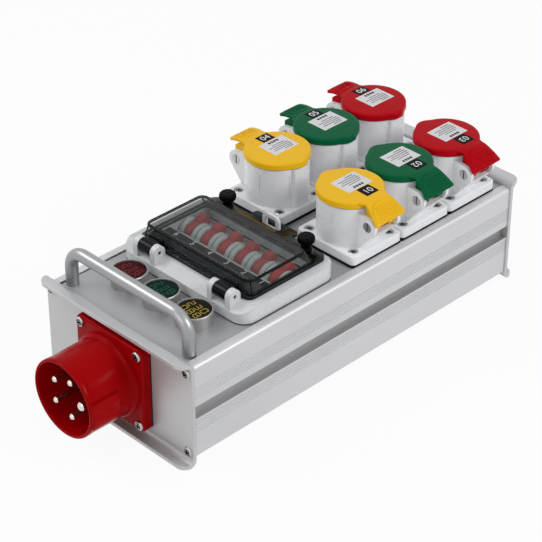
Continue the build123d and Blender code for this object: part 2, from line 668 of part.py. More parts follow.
# Breaker window frame, its gasket and the label strip
FRAME_X = (X_FRONT + FRAME_FRONT, X_FRONT + FRAME_REAR)
FRAME_LENGTH = FRAME_REAR - FRAME_FRONT
FRAME_MIDDLE = sum(FRAME_X) / 2
HINGE_BANDS = []
for side in (-1, 1):
    HINGE_BANDS.append((side * (COVER_HINGE_OUTER - COVER_HINGE_LENGTH), side * COVER_HINGE_OUTER, side))
THUMB_PLACES = [(X_FRONT + THUMB_X, side * THUMB_Y) for side in (-1, 1)]

with BuildPart() as window_gasket:
    with BuildSketch(Plane.XY.offset(Z_SEAT)):
        with Locations((FRAME_MIDDLE, 0)):
            RectangleRounded(FRAME_LENGTH, 2 * FRAME_HALF_WIDTH, FRAME_CORNER)
        with Locations((sum(OPENING_X) / 2, 0)):
            Rectangle(OPENING_X[1] - OPENING_X[0], 2 * OPENING_HALF_WIDTH, mode=Mode.SUBTRACT)
        with Locations(*THUMB_PLACES):
            Circle(THUMB_BORE_RADIUS, mode=Mode.SUBTRACT)
    extrude(amount=FRAME_GASKET)
write(window_gasket, "window_gasket")

with BuildPart() as window_frame:
    with BuildSketch(Plane.XZ.offset(-FRAME_HALF_WIDTH)) as side_view:
        with BuildLine():
            Polyline(
                (FRAME_X[0], Z_SEAT + FRAME_GASKET),
                (FRAME_X[1], Z_SEAT + FRAME_GASKET),
                (FRAME_X[1], Z_FRAME),
                (FRAME_X[0] + FRAME_SLOPE_RUN, Z_FRAME),
                (FRAME_X[0], Z_FRAME - FRAME_SLOPE_DROP),
                close=True,
            )
        make_face()
    extrude(amount=2 * FRAME_HALF_WIDTH)
    with BuildSketch(Plane.XY.offset(Z_SEAT)) as footprint:
        with Locations((FRAME_MIDDLE, 0)):
            RectangleRounded(FRAME_LENGTH, 2 * FRAME_HALF_WIDTH, FRAME_CORNER)
    extrude(amount=2 * FRAME_RISE, mode=Mode.INTERSECT)
    for inner, outer, side in HINGE_BANDS:
        for start in (inner, outer - side * COVER_EAR_THICKNESS):
            band = (start, start + side * COVER_EAR_THICKNESS)
            rod("y", COVER_AXIS, COVER_EAR_RADIUS, band)
            slab(span(COVER_AXIS[0], COVER_EAR_RADIUS), band, (Z_SEAT + FRAME_GASKET, COVER_AXIS[1]))
        room = (inner + side * COVER_EAR_THICKNESS, outer - side * COVER_EAR_THICKNESS)
        rod("y", COVER_AXIS, KNUCKLE_RADIUS + KNUCKLE_CLEARANCE, room, Mode.SUBTRACT)
        rod("y", COVER_AXIS, COVER_PIN_RADIUS + THREAD_PLAY, (inner, outer), Mode.SUBTRACT)
    slab(OPENING_X, span(0, OPENING_HALF_WIDTH), (Z_SEAT, Z_FRAME), Mode.SUBTRACT)
    for place in THUMB_PLACES:
        rod("z", place, THUMB_BORE_RADIUS, (Z_SEAT, Z_FRAME), Mode.SUBTRACT)
    catch_foot = (X_FRONT + CATCH_X - CATCH_THICKNESS / 2, 0, Z_FRAME)
    with BuildSketch(Plane(origin=catch_foot, x_dir=(0, 1, 0), z_dir=(1, 0, 0))) as staple:
        RectangleRounded(2 * CATCH_HALF_WIDTH, 2 * CATCH_RISE, CATCH_CORNER)
        eye_size = (2 * (CATCH_HALF_WIDTH - CATCH_LEG), 2 * (CATCH_RISE - CATCH_LEG))
        RectangleRounded(*eye_size, CATCH_CORNER - CATCH_LEG, mode=Mode.SUBTRACT)
        with Locations((0, -CATCH_RISE / 2)):
            Rectangle(2 * CATCH_HALF_WIDTH, CATCH_RISE, mode=Mode.SUBTRACT)
    extrude(staple.sketch, amount=CATCH_THICKNESS)
write(window_frame, "window_frame")

with BuildPart() as label_strip:
    strip_x = (X_FRONT + STRIP_FRONT, X_FRONT + STRIP_FRONT + STRIP_DEPTH)
    strip_y = span(0, BREAKER_COUNT * BREAKER_PITCH / 2 - STRIP_END_MARGIN)
    slab(strip_x, strip_y, (Z_NOSE, Z_NOSE + STRIP_THICKNESS))
    chamfer(label_strip.edges().filter_by(Axis.Y).sort_by(Axis.Z)[-2:], STRIP_CHAMFER)
write(label_strip, "label_strip")


# Hinged cover: a flange with a rear tab and a raised box with sloped walls
COVER_LOW = Z_FRAME + COVER_GAP
COVER_SHELF = COVER_LOW + COVER_FLANGE
COVER_TOP = Z_TOP + COVER_RISE
with BuildPart() as window_cover:
    with BuildSketch(Plane.XY.offset(COVER_LOW)):
        with Locations((X_FRONT + (COVER_FRONT + COVER_REAR) / 2, 0)):
            RectangleRounded(COVER_REAR - COVER_FRONT, 2 * COVER_HALF_WIDTH, COVER_CORNER)
        tab_start = COVER_REAR - COVER_CORNER
        tab_end = COVER_REAR + COVER_TAB_REACH
        with Locations((X_FRONT + (tab_start + tab_end) / 2, 0)):
            RectangleRounded(tab_end - tab_start, 2 * COVER_TAB_HALF_WIDTH, COVER_FLANGE)
    extrude(amount=COVER_FLANGE)
    with BuildSketch(Plane.XY.offset(COVER_SHELF)):
        with Locations((X_FRONT + (COVER_BASE_FRONT + COVER_BASE_REAR) / 2, 0)):
            RectangleRounded(COVER_BASE_REAR - COVER_BASE_FRONT, 2 * COVER_BASE_HALF_WIDTH, COVER_BOX_CORNER)
    with BuildSketch(Plane.XY.offset(COVER_TOP)):
        with Locations((X_FRONT + (COVER_TOP_FRONT + COVER_TOP_REAR) / 2, 0)):
            RectangleRounded(COVER_TOP_REAR - COVER_TOP_FRONT, 2 * COVER_TOP_HALF_WIDTH, COVER_BOX_CORNER)
    loft()
    roof_edges = window_cover.faces().sort_by(Axis.Z)[-1].edges()
    fillet(roof_edges, COVER_WALL)
    with BuildSketch(Plane.XY.offset(COVER_LOW)) as hollow_foot:
        with Locations((X_FRONT + (COVER_BASE_FRONT + COVER_BASE_REAR) / 2, 0)):
            RectangleRounded(
                COVER_BASE_REAR - COVER_BASE_FRONT - 2 * COVER_WALL,
                2 * (COVER_BASE_HALF_WIDTH - COVER_WALL),
                COVER_BOX_CORNER - COVER_WALL,
            )
    with BuildSketch(Plane.XY.offset(COVER_TOP - COVER_WALL)) as hollow_roof:
        with Locations((X_FRONT + (COVER_TOP_FRONT + COVER_TOP_REAR) / 2, 0)):
            RectangleRounded(
                COVER_TOP_REAR - COVER_TOP_FRONT - 2 * COVER_WALL,
                2 * (COVER_TOP_HALF_WIDTH - COVER_WALL),
                COVER_BOX_CORNER - COVER_WALL,
            )
    loft(mode=Mode.SUBTRACT)
    slot_x = span(X_FRONT + CATCH_X, CATCH_THICKNESS / 2 + CATCH_SLOT_PLAY)
    slab(slot_x, span(0, CATCH_HALF_WIDTH + CATCH_SLOT_PLAY), (COVER_LOW, COVER_SHELF), Mode.SUBTRACT)
    for place in THUMB_PLACES:
        hole = THUMB_SHANK_RADIUS + THUMB_SHANK_PLAY
        rod("z", place, hole, (COVER_LOW, COVER_SHELF), Mode.SUBTRACT)
write(window_cover, "window_cover")

with BuildPart() as cover_knuckles:
    for inner, outer, side in HINGE_BANDS:
        inset = COVER_EAR_THICKNESS + KNUCKLE_SIDE_GAP
        band = (inner + side * inset, outer - side * inset)
        rod("y", COVER_AXIS, KNUCKLE_RADIUS, band)
        arm_x = (COVER_AXIS[0], X_FRONT + COVER_BASE_FRONT - COVER_GAP)
        slab(arm_x, band, (COVER_SHELF, Z_TOP + KNUCKLE_TOP))
        rod("y", COVER_AXIS, COVER_PIN_RADIUS + PIN_RUNNING_PLAY, band, Mode.SUBTRACT)
write(cover_knuckles, "cover_knuckles")

with BuildPart() as cover_hinge_pins:
    for inner, outer, side in HINGE_BANDS:
        ends = (inner + side * COVER_PIN_RECESS, outer - side * COVER_PIN_RECESS)
        rod("y", COVER_AXIS, COVER_PIN_RADIUS, ends)
write(cover_hinge_pins, "cover_hinge_pins")

for name, place in zip(("thumbscrew_right", "thumbscrew_left"), THUMB_PLACES):
    head_low = Z_TOP + THUMB_HEAD_BOTTOM
    head_top = Z_TOP + THUMB_HEAD_TOP
    with BuildPart() as thumbscrew:
        cap_low = head_low + THUMB_NECK_HEIGHT
        rod("z", place, THUMB_HEAD_RADIUS, (cap_low, head_top))
        fillet(thumbscrew.edges().filter_by(GeomType.CIRCLE), THUMB_HEAD_RADIUS / 3)
        for index in range(THUMB_FLUTES):
            angle = index * 2 * math.pi / THUMB_FLUTES
            flute = (place[0] + THUMB_HEAD_RADIUS * math.cos(angle), place[1] + THUMB_HEAD_RADIUS * math.sin(angle))
            rod("z", flute, THUMB_FLUTE_RADIUS, (cap_low, head_top), Mode.SUBTRACT)
        rod("z", place, THUMB_NECK_RADIUS, (head_low, cap_low + THUMB_NECK_RADIUS / 2))
        rod("z", place, THUMB_SHANK_RADIUS, (head_low - THUMB_SHANK_LENGTH, head_low + THUMB_SHANK_RADIUS))
    write(thumbscrew, name)


# Mounting rail on two brackets, and the breakers with their toggles
with BuildPart() as din_rail:
    with BuildSketch(Plane.XZ.offset(-DIN_HALF_LENGTH)):
        with Locations((BREAKER_CENTRE, Z_DIN + DIN_THICKNESS / 2)):
            Rectangle(2 * RAIL_TOP_HAT_HALF_WIDTH, DIN_THICKNESS)
        for side in (-1, 1):
            wall_x = BREAKER_CENTRE + side * (RAIL_TOP_HAT_HALF_WIDTH - DIN_THICKNESS / 2)
            with Locations((wall_x, Z_DIN + DIN_HEIGHT / 2)):
                Rectangle(DIN_THICKNESS, DIN_HEIGHT)
            wing = RAIL_HALF_WIDTH - RAIL_TOP_HAT_HALF_WIDTH + DIN_THICKNESS
            wing_x = BREAKER_CENTRE + side * (RAIL_HALF_WIDTH - wing / 2)
            with Locations((wing_x, Z_BREAKER - DIN_THICKNESS / 2)):
                Rectangle(wing, DIN_THICKNESS)
    extrude(amount=2 * DIN_HALF_LENGTH)
write(din_rail, "din_rail")

with BuildPart() as din_rail_brackets:
    for side in (-1, 1):
        bracket_y = span(side * (DIN_HALF_LENGTH - BRACKET_WIDTH / 2), BRACKET_WIDTH / 2)
        slab(span(BREAKER_CENTRE, RAIL_TOP_HAT_HALF_WIDTH), bracket_y, (Z_FLOOR, Z_DIN))
write(din_rail_brackets, "din_rail_brackets")

BREAKER_ROW = [((BREAKER_COUNT - 1) / 2 - index) * BREAKER_PITCH for index in range(BREAKER_COUNT)]
POCKET_RADIUS = TOGGLE_DRUM_RADIUS + TOGGLE_POCKET_PLAY
POCKET_HALF_WIDTH = TOGGLE_DRUM_WIDTH / 2 + TOGGLE_POCKET_PLAY
TRUNNION_HALF_SPAN = TOGGLE_DRUM_WIDTH / 2 + TRUNNION_LENGTH
for index, y in enumerate(BREAKER_ROW):
    with BuildPart() as breaker:
        width = span(y, BREAKER_WIDTH / 2)
        base_top = Z_BREAKER + BREAKER_SHOULDER
        slab(span(BREAKER_CENTRE, BREAKER_BASE_HALF_LENGTH), width, (Z_BREAKER, base_top))
        slab(span(BREAKER_CENTRE, BREAKER_NOSE_HALF_LENGTH), width, (base_top, Z_NOSE))
        for side in (-1, 1):
            hook = BREAKER_CENTRE + side * (RAIL_HALF_WIDTH + SCREW_PLAY + BREAKER_HOOK_LENGTH / 2)
            slab(span(hook, BREAKER_HOOK_LENGTH / 2), width, (Z_BREAKER - BREAKER_HOOK_DROP, Z_BREAKER))
        pocket = span(y, POCKET_HALF_WIDTH)
        rod("y", TOGGLE_AXIS, POCKET_RADIUS, pocket, Mode.SUBTRACT)
        slab(span(TOGGLE_AXIS[0], POCKET_RADIUS), pocket, (TOGGLE_AXIS[1], Z_NOSE), Mode.SUBTRACT)
        bearing = span(y, TRUNNION_HALF_SPAN + TOGGLE_POCKET_PLAY)
        rod("y", TOGGLE_AXIS, TRUNNION_RADIUS + PIN_RUNNING_PLAY, bearing, Mode.SUBTRACT)
    write(breaker, f"breaker_{index + 1}")

    with BuildPart() as toggle:
        rod("y", TOGGLE_AXIS, TOGGLE_DRUM_RADIUS, span(y, TOGGLE_DRUM_WIDTH / 2))
        rod("y", TOGGLE_AXIS, TRUNNION_RADIUS, span(y, TRUNNION_HALF_SPAN))
        lean = math.radians(TOGGLE_REST_ANGLE)
        along = (math.sin(lean), math.cos(lean))
        across = (math.cos(lean), -math.sin(lean))
        foot = TOGGLE_DRUM_RADIUS / 2
        outline = []
        for reach, half in (
            (foot, TOGGLE_THICKNESS / 2),
            (TOGGLE_TIP_RADIUS, TOGGLE_THICKNESS / 3),
            (TOGGLE_TIP_RADIUS, -TOGGLE_THICKNESS / 3),
            (foot, -TOGGLE_THICKNESS / 2),
        ):
            u = TOGGLE_AXIS[0] + along[0] * reach + across[0] * half
            w = TOGGLE_AXIS[1] + along[1] * reach + across[1] * half
            outline.append((u, w))
        with BuildSketch(Plane.XZ.offset(-(y + TOGGLE_DRUM_WIDTH / 2))):
            with BuildLine():
                Polyline(*outline, close=True)
            make_face()
        extrude(amount=TOGGLE_DRUM_WIDTH)
    write(toggle, f"toggle_{index + 1}")


# Outlets
CONTACTS = []
for index in range(3):
    angle = index * 2 * math.pi / 3
    CONTACTS.append((
        -CONTACT_CIRCLE * math.cos(angle),
        CONTACT_CIRCLE * math.sin(angle),
        EARTH_HOLE if index == 0 else CONTACT_HOLE,
    ))
GASKET_TOP = Z_SEAT + OUTLET_GASKET
OUTLET_DECK = Z_TOP + OUTLET_FLANGE_RISE
LOWER_END = Z_SEAT - LOWER_BARREL_DEPTH
CARRIER_TOP = Z_TOP + CARRIER_RISE
LUG_HALF_WIDTH = LID_BLOCK_HALF_WIDTH - LID_EAR_THICKNESS - LUG_SIDE_GAP
POCKET_FLOOR = OUTLET_DECK - OUTLET_SCREW_POCKET_DEPTH
LEVER_TIP_HALVES = {-1: LEVER_TIP_HALF_WIDTH, 1: LEFT_LEVER_TIP_HALF_WIDTH}
LEVER_PATHS = {}
for side, knee, tip in (
    (-1, LEVER_KNEE_RISE, LEVER_TIP_RISE),
    (1, LEFT_LEVER_KNEE_RISE, LEFT_LEVER_TIP_RISE),
):
    LEVER_PATHS[side] = [
        (LEVER_ROOT_OUT, Z_TOP + LID_TOP),
        (LEVER_SHOULDER_OUT, Z_TOP + LEVER_SHOULDER_RISE),
        (LEVER_KNEE_OUT, Z_TOP + knee),
        (LEVER_TIP_OUT, Z_TOP + tip),
    ]

for number, (x, side) in enumerate(OUTLETS, start=1):
    row = side * OUTLET_ROW_Y
    hinge_y = row + side * LID_HINGE_OUT
    hinge = (hinge_y, Z_LID_AXIS)
    with BuildPart() as housing:
        with BuildSketch(Plane.XY.offset(GASKET_TOP)):
            with Locations((x, row)):
                RectangleRounded(OUTLET_FLANGE_LENGTH, OUTLET_FLANGE_WIDTH, OUTLET_FLANGE_CORNER)
        extrude(amount=OUTLET_DECK - GASKET_TOP)
        deck_edges = housing.faces().sort_by(Axis.Z)[-1].edges()
        fillet(deck_edges, OUTLET_FLANGE_CORNER / 3)
        rod("z", (x, row), BARREL_RADIUS, (OUTLET_DECK, Z_TOP + BARREL_RISE))
        bulge(x, row, side, KEY_HALF_WIDTH, KEY_REACH, (OUTLET_DECK, Z_TOP + BARREL_RISE))
        rod("z", (x, row), MOUTH_RADIUS, (Z_TOP + BARREL_RISE, Z_TOP + MOUTH_RISE))
        rod("z", (x, row), LOWER_BARREL_RADIUS, (LOWER_END, GASKET_TOP))
        with BuildSketch(Plane.YZ.offset(x - LID_BLOCK_HALF_WIDTH)):
            with BuildLine():
                outer_lean = math.atan2(LID_HINGE_OUT - LID_BLOCK_FOOT_OUT, Z_LID_AXIS - OUTLET_DECK)
                foot_distance = math.hypot(LID_HINGE_OUT - LID_BLOCK_FOOT_OUT, Z_LID_AXIS - OUTLET_DECK)
                touch = outer_lean + math.asin(LID_EAR_RADIUS / foot_distance)
                touch_point = (
                    hinge_y + side * LID_EAR_RADIUS * math.cos(touch),
                    Z_LID_AXIS - LID_EAR_RADIUS * math.sin(touch),
                )
                Polyline(
                    (row + side * LID_BLOCK_INNER, OUTLET_DECK),
                    (row + side * LID_BLOCK_FOOT_OUT, OUTLET_DECK),
                    touch_point,
                    (hinge_y, Z_LID_AXIS + LID_EAR_RADIUS),
                    (row + side * LID_BLOCK_INNER, Z_TOP + LID_BLOCK_TOP),
                    close=True,
                )
            make_face()
            with Locations((hinge_y, Z_LID_AXIS)):
                Circle(LID_EAR_RADIUS)
        extrude(amount=2 * LID_BLOCK_HALF_WIDTH)
        slot_y = (row + side * LID_SLOT_INNER, hinge_y + side * 2 * LID_EAR_RADIUS)
        slot_z = (Z_LID_AXIS - LID_SLOT_DROP, Z_LID_AXIS + 2 * LID_EAR_RADIUS)
        slab(span(x, LUG_HALF_WIDTH + LUG_SIDE_GAP), slot_y, slot_z, Mode.SUBTRACT)
        ears = span(x, LID_BLOCK_HALF_WIDTH)
        rod("x", hinge, LID_PIN_RADIUS + THREAD_PLAY, ears, Mode.SUBTRACT)
        for face_x, out in ((x - LID_BLOCK_HALF_WIDTH, -1), (x + LID_BLOCK_HALF_WIDTH, 1)):
            sink = (face_x - out * LID_PIN_HEAD_THICKNESS, face_x)
            rod("x", hinge, LID_PIN_HEAD_RADIUS + SCREW_PLAY, sink, Mode.SUBTRACT)
        rod("z", (x, row), MOUTH_BORE, (Z_TOP + SHROUD_GAP_FLOOR, Z_TOP + MOUTH_RISE), Mode.SUBTRACT)
        key_slot = (row, row - side * KEY_SLOT_REACH)
        slab(span(x, KEY_SLOT_HALF_WIDTH), key_slot, (Z_TOP + SHROUD_GAP_FLOOR, Z_TOP + MOUTH_RISE), Mode.SUBTRACT)
        rod("z", (x, row), CARRIER_RADIUS + CARRIER_PLAY, (LOWER_END, Z_TOP + MOUTH_RISE), Mode.SUBTRACT)
        for dx in (-OUTLET_SCREW_DX, OUTLET_SCREW_DX):
            for dy in (-OUTLET_SCREW_DY, OUTLET_SCREW_DY):
                place = (x + dx, row + dy)
                rod("z", place, OUTLET_SCREW_RADIUS + SCREW_PLAY, (GASKET_TOP, OUTLET_DECK), Mode.SUBTRACT)
                rod("z", place, OUTLET_SCREW_POCKET, (POCKET_FLOOR, OUTLET_DECK), Mode.SUBTRACT)
    write(housing, f"outlet_housing_{number}")

    with BuildPart() as lid:
        lid_top = Z_TOP + LID_TOP
        tip_y = row + side * LEVER_TIP_OUT
        tip_half = LEVER_TIP_HALVES[side]
        path = LEVER_PATHS[side]
        root_y = row + side * (LEVER_ROOT_OUT - LEVER_THICKNESS)
        with BuildSketch(Plane.YZ.offset(x - tip_half)):
            with BuildLine():
                Polyline(*[(row + side * out, w) for out, w in strip_below(path, LEVER_THICKNESS)], close=True)
            make_face()
        extrude(amount=2 * tip_half)
        with BuildSketch(Plane.XY.offset(Z_TOP)):
            with BuildLine():
                Polyline(
                    (x - LEVER_ROOT_HALF_WIDTH, root_y),
                    (x + LEVER_ROOT_HALF_WIDTH, root_y),
                    (x + tip_half, tip_y),
                    (x - tip_half, tip_y),
                    close=True,
                )
            make_face()
        extrude(amount=LID_TOP, mode=Mode.INTERSECT)
        with BuildSketch(Plane.YZ.offset(x - LUG_HALF_WIDTH)):
            with BuildLine():
                lug_sides = (LID_HINGE_OUT - LUG_RADIUS, LEVER_SHOULDER_OUT, LID_HINGE_OUT + LUG_RADIUS)
                lug_top = [(out, height_on(path, out) - LEVER_THICKNESS / 2) for out in lug_sides]
                Polyline(
                    (row + side * lug_sides[-1], Z_LID_AXIS),
                    (row + side * lug_sides[0], Z_LID_AXIS),
                    *[(row + side * out, w) for out, w in lug_top],
                    close=True,
                )
            make_face()
            with Locations(hinge):
                Circle(LUG_RADIUS)
        extrude(amount=2 * LUG_HALF_WIDTH)
        rod("z", (x, row), LID_RADIUS, (Z_TOP + LID_SKIRT_BOTTOM, lid_top))
        bulge(x, row, side, LID_KEY_HALF_WIDTH, LID_KEY_REACH, (Z_TOP + LID_SKIRT_BOTTOM, lid_top))
        hollow = (Z_TOP + LID_SKIRT_BOTTOM, Z_TOP + LID_CEILING)
        rod("z", (x, row), LID_RADIUS - LID_WALL, hollow, Mode.SUBTRACT)
        whole_lug = span(x, LUG_HALF_WIDTH)
        rod("x", hinge, LID_PIN_RADIUS + PIN_RUNNING_PLAY, whole_lug, Mode.SUBTRACT)
        coil_room = span(x, SPRING_HALF_LENGTH + SPRING_PLAY)
        rod("x", hinge, SPRING_RADIUS + SPRING_PLAY, coil_room, Mode.SUBTRACT)
    write(lid, f"outlet_lid_{number}")

with BuildPart() as outlet_gaskets:
    for x, side in OUTLETS:
        row = side * OUTLET_ROW_Y
        with BuildSketch(Plane.XY.offset(Z_SEAT)):
            with Locations((x, row)):
                RectangleRounded(
                    OUTLET_FLANGE_LENGTH + 2 * OUTLET_GASKET_PROUD,
                    OUTLET_FLANGE_WIDTH + 2 * OUTLET_GASKET_PROUD,
                    OUTLET_FLANGE_CORNER,
                )
                Circle(LOWER_BARREL_RADIUS + PANEL_HOLE_PLAY, mode=Mode.SUBTRACT)
            with Locations(*[place for place in OUTLET_SCREWS if math.dist(place, (x, row)) < OUTLET_PITCH / 1.5]):
                Circle(OUTLET_SCREW_RADIUS + SCREW_PLAY, mode=Mode.SUBTRACT)
        extrude(amount=OUTLET_GASKET)
write(outlet_gaskets, "outlet_gaskets")

with BuildPart() as outlet_carriers:
    for x, side in OUTLETS:
        row = side * OUTLET_ROW_Y
        rod("z", (x, row), CARRIER_RADIUS, (LOWER_END, CARRIER_TOP))
        rod("z", (x, row), LOWER_BARREL_RADIUS, (LOWER_END - CARRIER_STEP, LOWER_END))
        for inward, dx, hole in CONTACTS:
            place = (x + dx, row + side * inward)
            rod("z", place, hole, (LOWER_END - CARRIER_STEP, CARRIER_TOP), Mode.SUBTRACT)
            seat = hole + CONTACT_SLEEVE
            rod("z", place, seat, (LOWER_END - CARRIER_STEP, Z_TOP + CONTACT_RISE), Mode.SUBTRACT)
write(outlet_carriers, "outlet_carriers")

with BuildPart() as outlet_contacts:
    for x, side in OUTLETS:
        for inward, dx, hole in CONTACTS:
            place = (x + dx, side * OUTLET_ROW_Y + side * inward)
            foot = LOWER_END - CARRIER_STEP - CONTACT_TAIL
            rod("z", place, hole + CONTACT_SLEEVE - THREAD_PLAY, (foot, Z_TOP + CONTACT_RISE))
            rod("z", place, hole - THREAD_PLAY, (LOWER_END, Z_TOP + CONTACT_RISE), Mode.SUBTRACT)
write(outlet_contacts, "outlet_contacts")

with BuildPart() as outlet_screws:
    for place in OUTLET_SCREWS:
        upright_screw(*place, POCKET_FLOOR, OUTLET_SCREW_RADIUS, Z_UNDER - OUTLET_SCREW_TAIL)
write(outlet_screws, "outlet_screws")

with BuildPart() as lid_pins:
    for x, side in OUTLETS:
        hinge = (side * (OUTLET_ROW_Y + LID_HINGE_OUT), Z_LID_AXIS)
        rod("x", hinge, LID_PIN_RADIUS, span(x, LID_BLOCK_HALF_WIDTH))
        for out in (-1, 1):
            face_x = x + out * LID_BLOCK_HALF_WIDTH
            rod("x", hinge, LID_PIN_HEAD_RADIUS, (face_x - out * LID_PIN_HEAD_THICKNESS, face_x))
            groove = (face_x - out * LID_PIN_HEAD_THICKNESS / 2, face_x)
            slot_half = LID_PIN_HEAD_RADIUS
            slab(groove, span(hinge[0], LID_PIN_SLOT / 2), span(hinge[1], slot_half), Mode.SUBTRACT)
write(lid_pins, "lid_pins")

with BuildPart() as lid_springs:
    for x, side in OUTLETS:
        hinge = (side * (OUTLET_ROW_Y + LID_HINGE_OUT), Z_LID_AXIS)
        coil = span(x, SPRING_HALF_LENGTH)
        rod("x", hinge, SPRING_RADIUS, coil)
        rod("x", hinge, LID_PIN_RADIUS + SPRING_WIRE_GAP, coil, Mode.SUBTRACT)
write(lid_springs, "lid_springs")


# Neutral and earth bars on the floor of the case, under the outlets
with BuildPart() as terminal_bars:
    for side in (-1, 1):
        bar_x = span(X_FRONT + OUTLET_X + OUTLET_PITCH, BAR_LENGTH / 2)
        bar_y = span(side * BAR_Y, BAR_SECTION / 2)
        slab(bar_x, bar_y, (Z_FLOOR + BAR_FOOT_HEIGHT, Z_FLOOR + BAR_FOOT_HEIGHT + BAR_SECTION))
        for end in (-1, 1):
            foot_x = span(sum(bar_x) / 2 + end * (BAR_LENGTH - BAR_SECTION) / 2, BAR_SECTION / 2)
            slab(foot_x, bar_y, (Z_FLOOR, Z_FLOOR + BAR_FOOT_HEIGHT))
write(terminal_bars, "terminal_bars")
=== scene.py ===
import math

import bmesh
import bpy
from mathutils import Matrix, Vector


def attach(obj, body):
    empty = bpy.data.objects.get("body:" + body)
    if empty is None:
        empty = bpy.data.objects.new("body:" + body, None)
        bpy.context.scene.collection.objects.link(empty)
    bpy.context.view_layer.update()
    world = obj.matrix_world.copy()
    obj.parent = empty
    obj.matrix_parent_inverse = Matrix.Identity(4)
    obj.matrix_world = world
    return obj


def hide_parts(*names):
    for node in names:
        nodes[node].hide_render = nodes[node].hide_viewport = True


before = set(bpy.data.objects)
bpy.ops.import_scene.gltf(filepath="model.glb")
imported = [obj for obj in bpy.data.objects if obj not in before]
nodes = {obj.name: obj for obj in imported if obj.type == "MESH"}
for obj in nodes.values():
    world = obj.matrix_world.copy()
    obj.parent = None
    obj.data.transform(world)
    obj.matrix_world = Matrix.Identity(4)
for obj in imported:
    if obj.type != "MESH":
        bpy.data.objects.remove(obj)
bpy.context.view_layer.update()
MM = 0.001

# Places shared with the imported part, in millimetres
X_FRONT = -146.25
Z_TOP = 85.0
Z_SEAT = 83.8
HALF_WIDTH = 76.5
INLET_Z = 46.0
INLET_FACE_X = -157.75
MOUTH_X = -201.75
SHOULDER_X = -165.75
OUTLET_X = [X_FRONT + 194.0 + 53.6 * k for k in range(3)]
OUTLETS = [(x, side) for side in (-1, 1) for x in OUTLET_X]
ROW_Y = 38.3
HINGE_OUT = 30.7
HINGE_Z = 115.0
BREAKER_X = X_FRONT + 115.0
BREAKER_Y = [(2.5 - k) * 18.0 for k in range(6)]
BREAKER_AXIS_Z = 87.0
NOSE_TOP = 91.0
LEDGE_TOP = 97.0
LABEL_TOP = 97.3
COVER_BASE_TOP = 100.2
COVER_ROOF_EDGE = 109.9
METER_X = X_FRONT + 39.5
METER_PITCH = 34.6
METER_FLOOR = 92.4
THUMB_X = X_FRONT + 144.8
THUMB_Y = 41.6
GROOVE_Z = 45.5
GROOVE_HALF = 5.45
PANEL_SEAM_Y = 67.7
INLET_BACK_X = -150.25
INLET_FLANGE = 71
INLET_SCREW_OUT = 30.2
PLATE_SCREW_Y = 72.5
OUTLET_FLANGE_TOP = 91.3

# Camera, fitted to the photo: degrees, millimetres and a 36 mm wide sensor
CAMERA_TURN = -44.61
CAMERA_RISE = 33.68
CAMERA_ROLL = 0.08
CAMERA_ACROSS = 106.75
CAMERA_UP = 101.91
CAMERA_BACK = 1478.75
LENS = 135.0


def camera():
    a = math.radians(CAMERA_TURN)
    e = math.radians(CAMERA_RISE)
    back = Vector((math.sin(a) * math.cos(e), -math.cos(a) * math.cos(e), math.sin(e)))
    right = Vector((0, 0, 1)).cross(back).normalized()
    up = back.cross(right)
    roll = Matrix.Rotation(math.radians(CAMERA_ROLL), 3, back)
    right, up = roll @ right, roll @ up
    place = CAMERA_ACROSS * right + CAMERA_UP * up + CAMERA_BACK * back + Vector((X_FRONT, 0, 6.0))
    data = bpy.data.cameras.new("camera")
    data.lens = LENS
    data.sensor_width = 36.0
    data.clip_end = 20.0
    obj = bpy.data.objects.new("camera", data)
    turn = Matrix((right, up, back)).transposed().to_4x4()
    obj.matrix_world = Matrix.Translation(place * MM) @ turn
    bpy.context.scene.collection.objects.link(obj)
    bpy.context.scene.camera = obj


# Materials

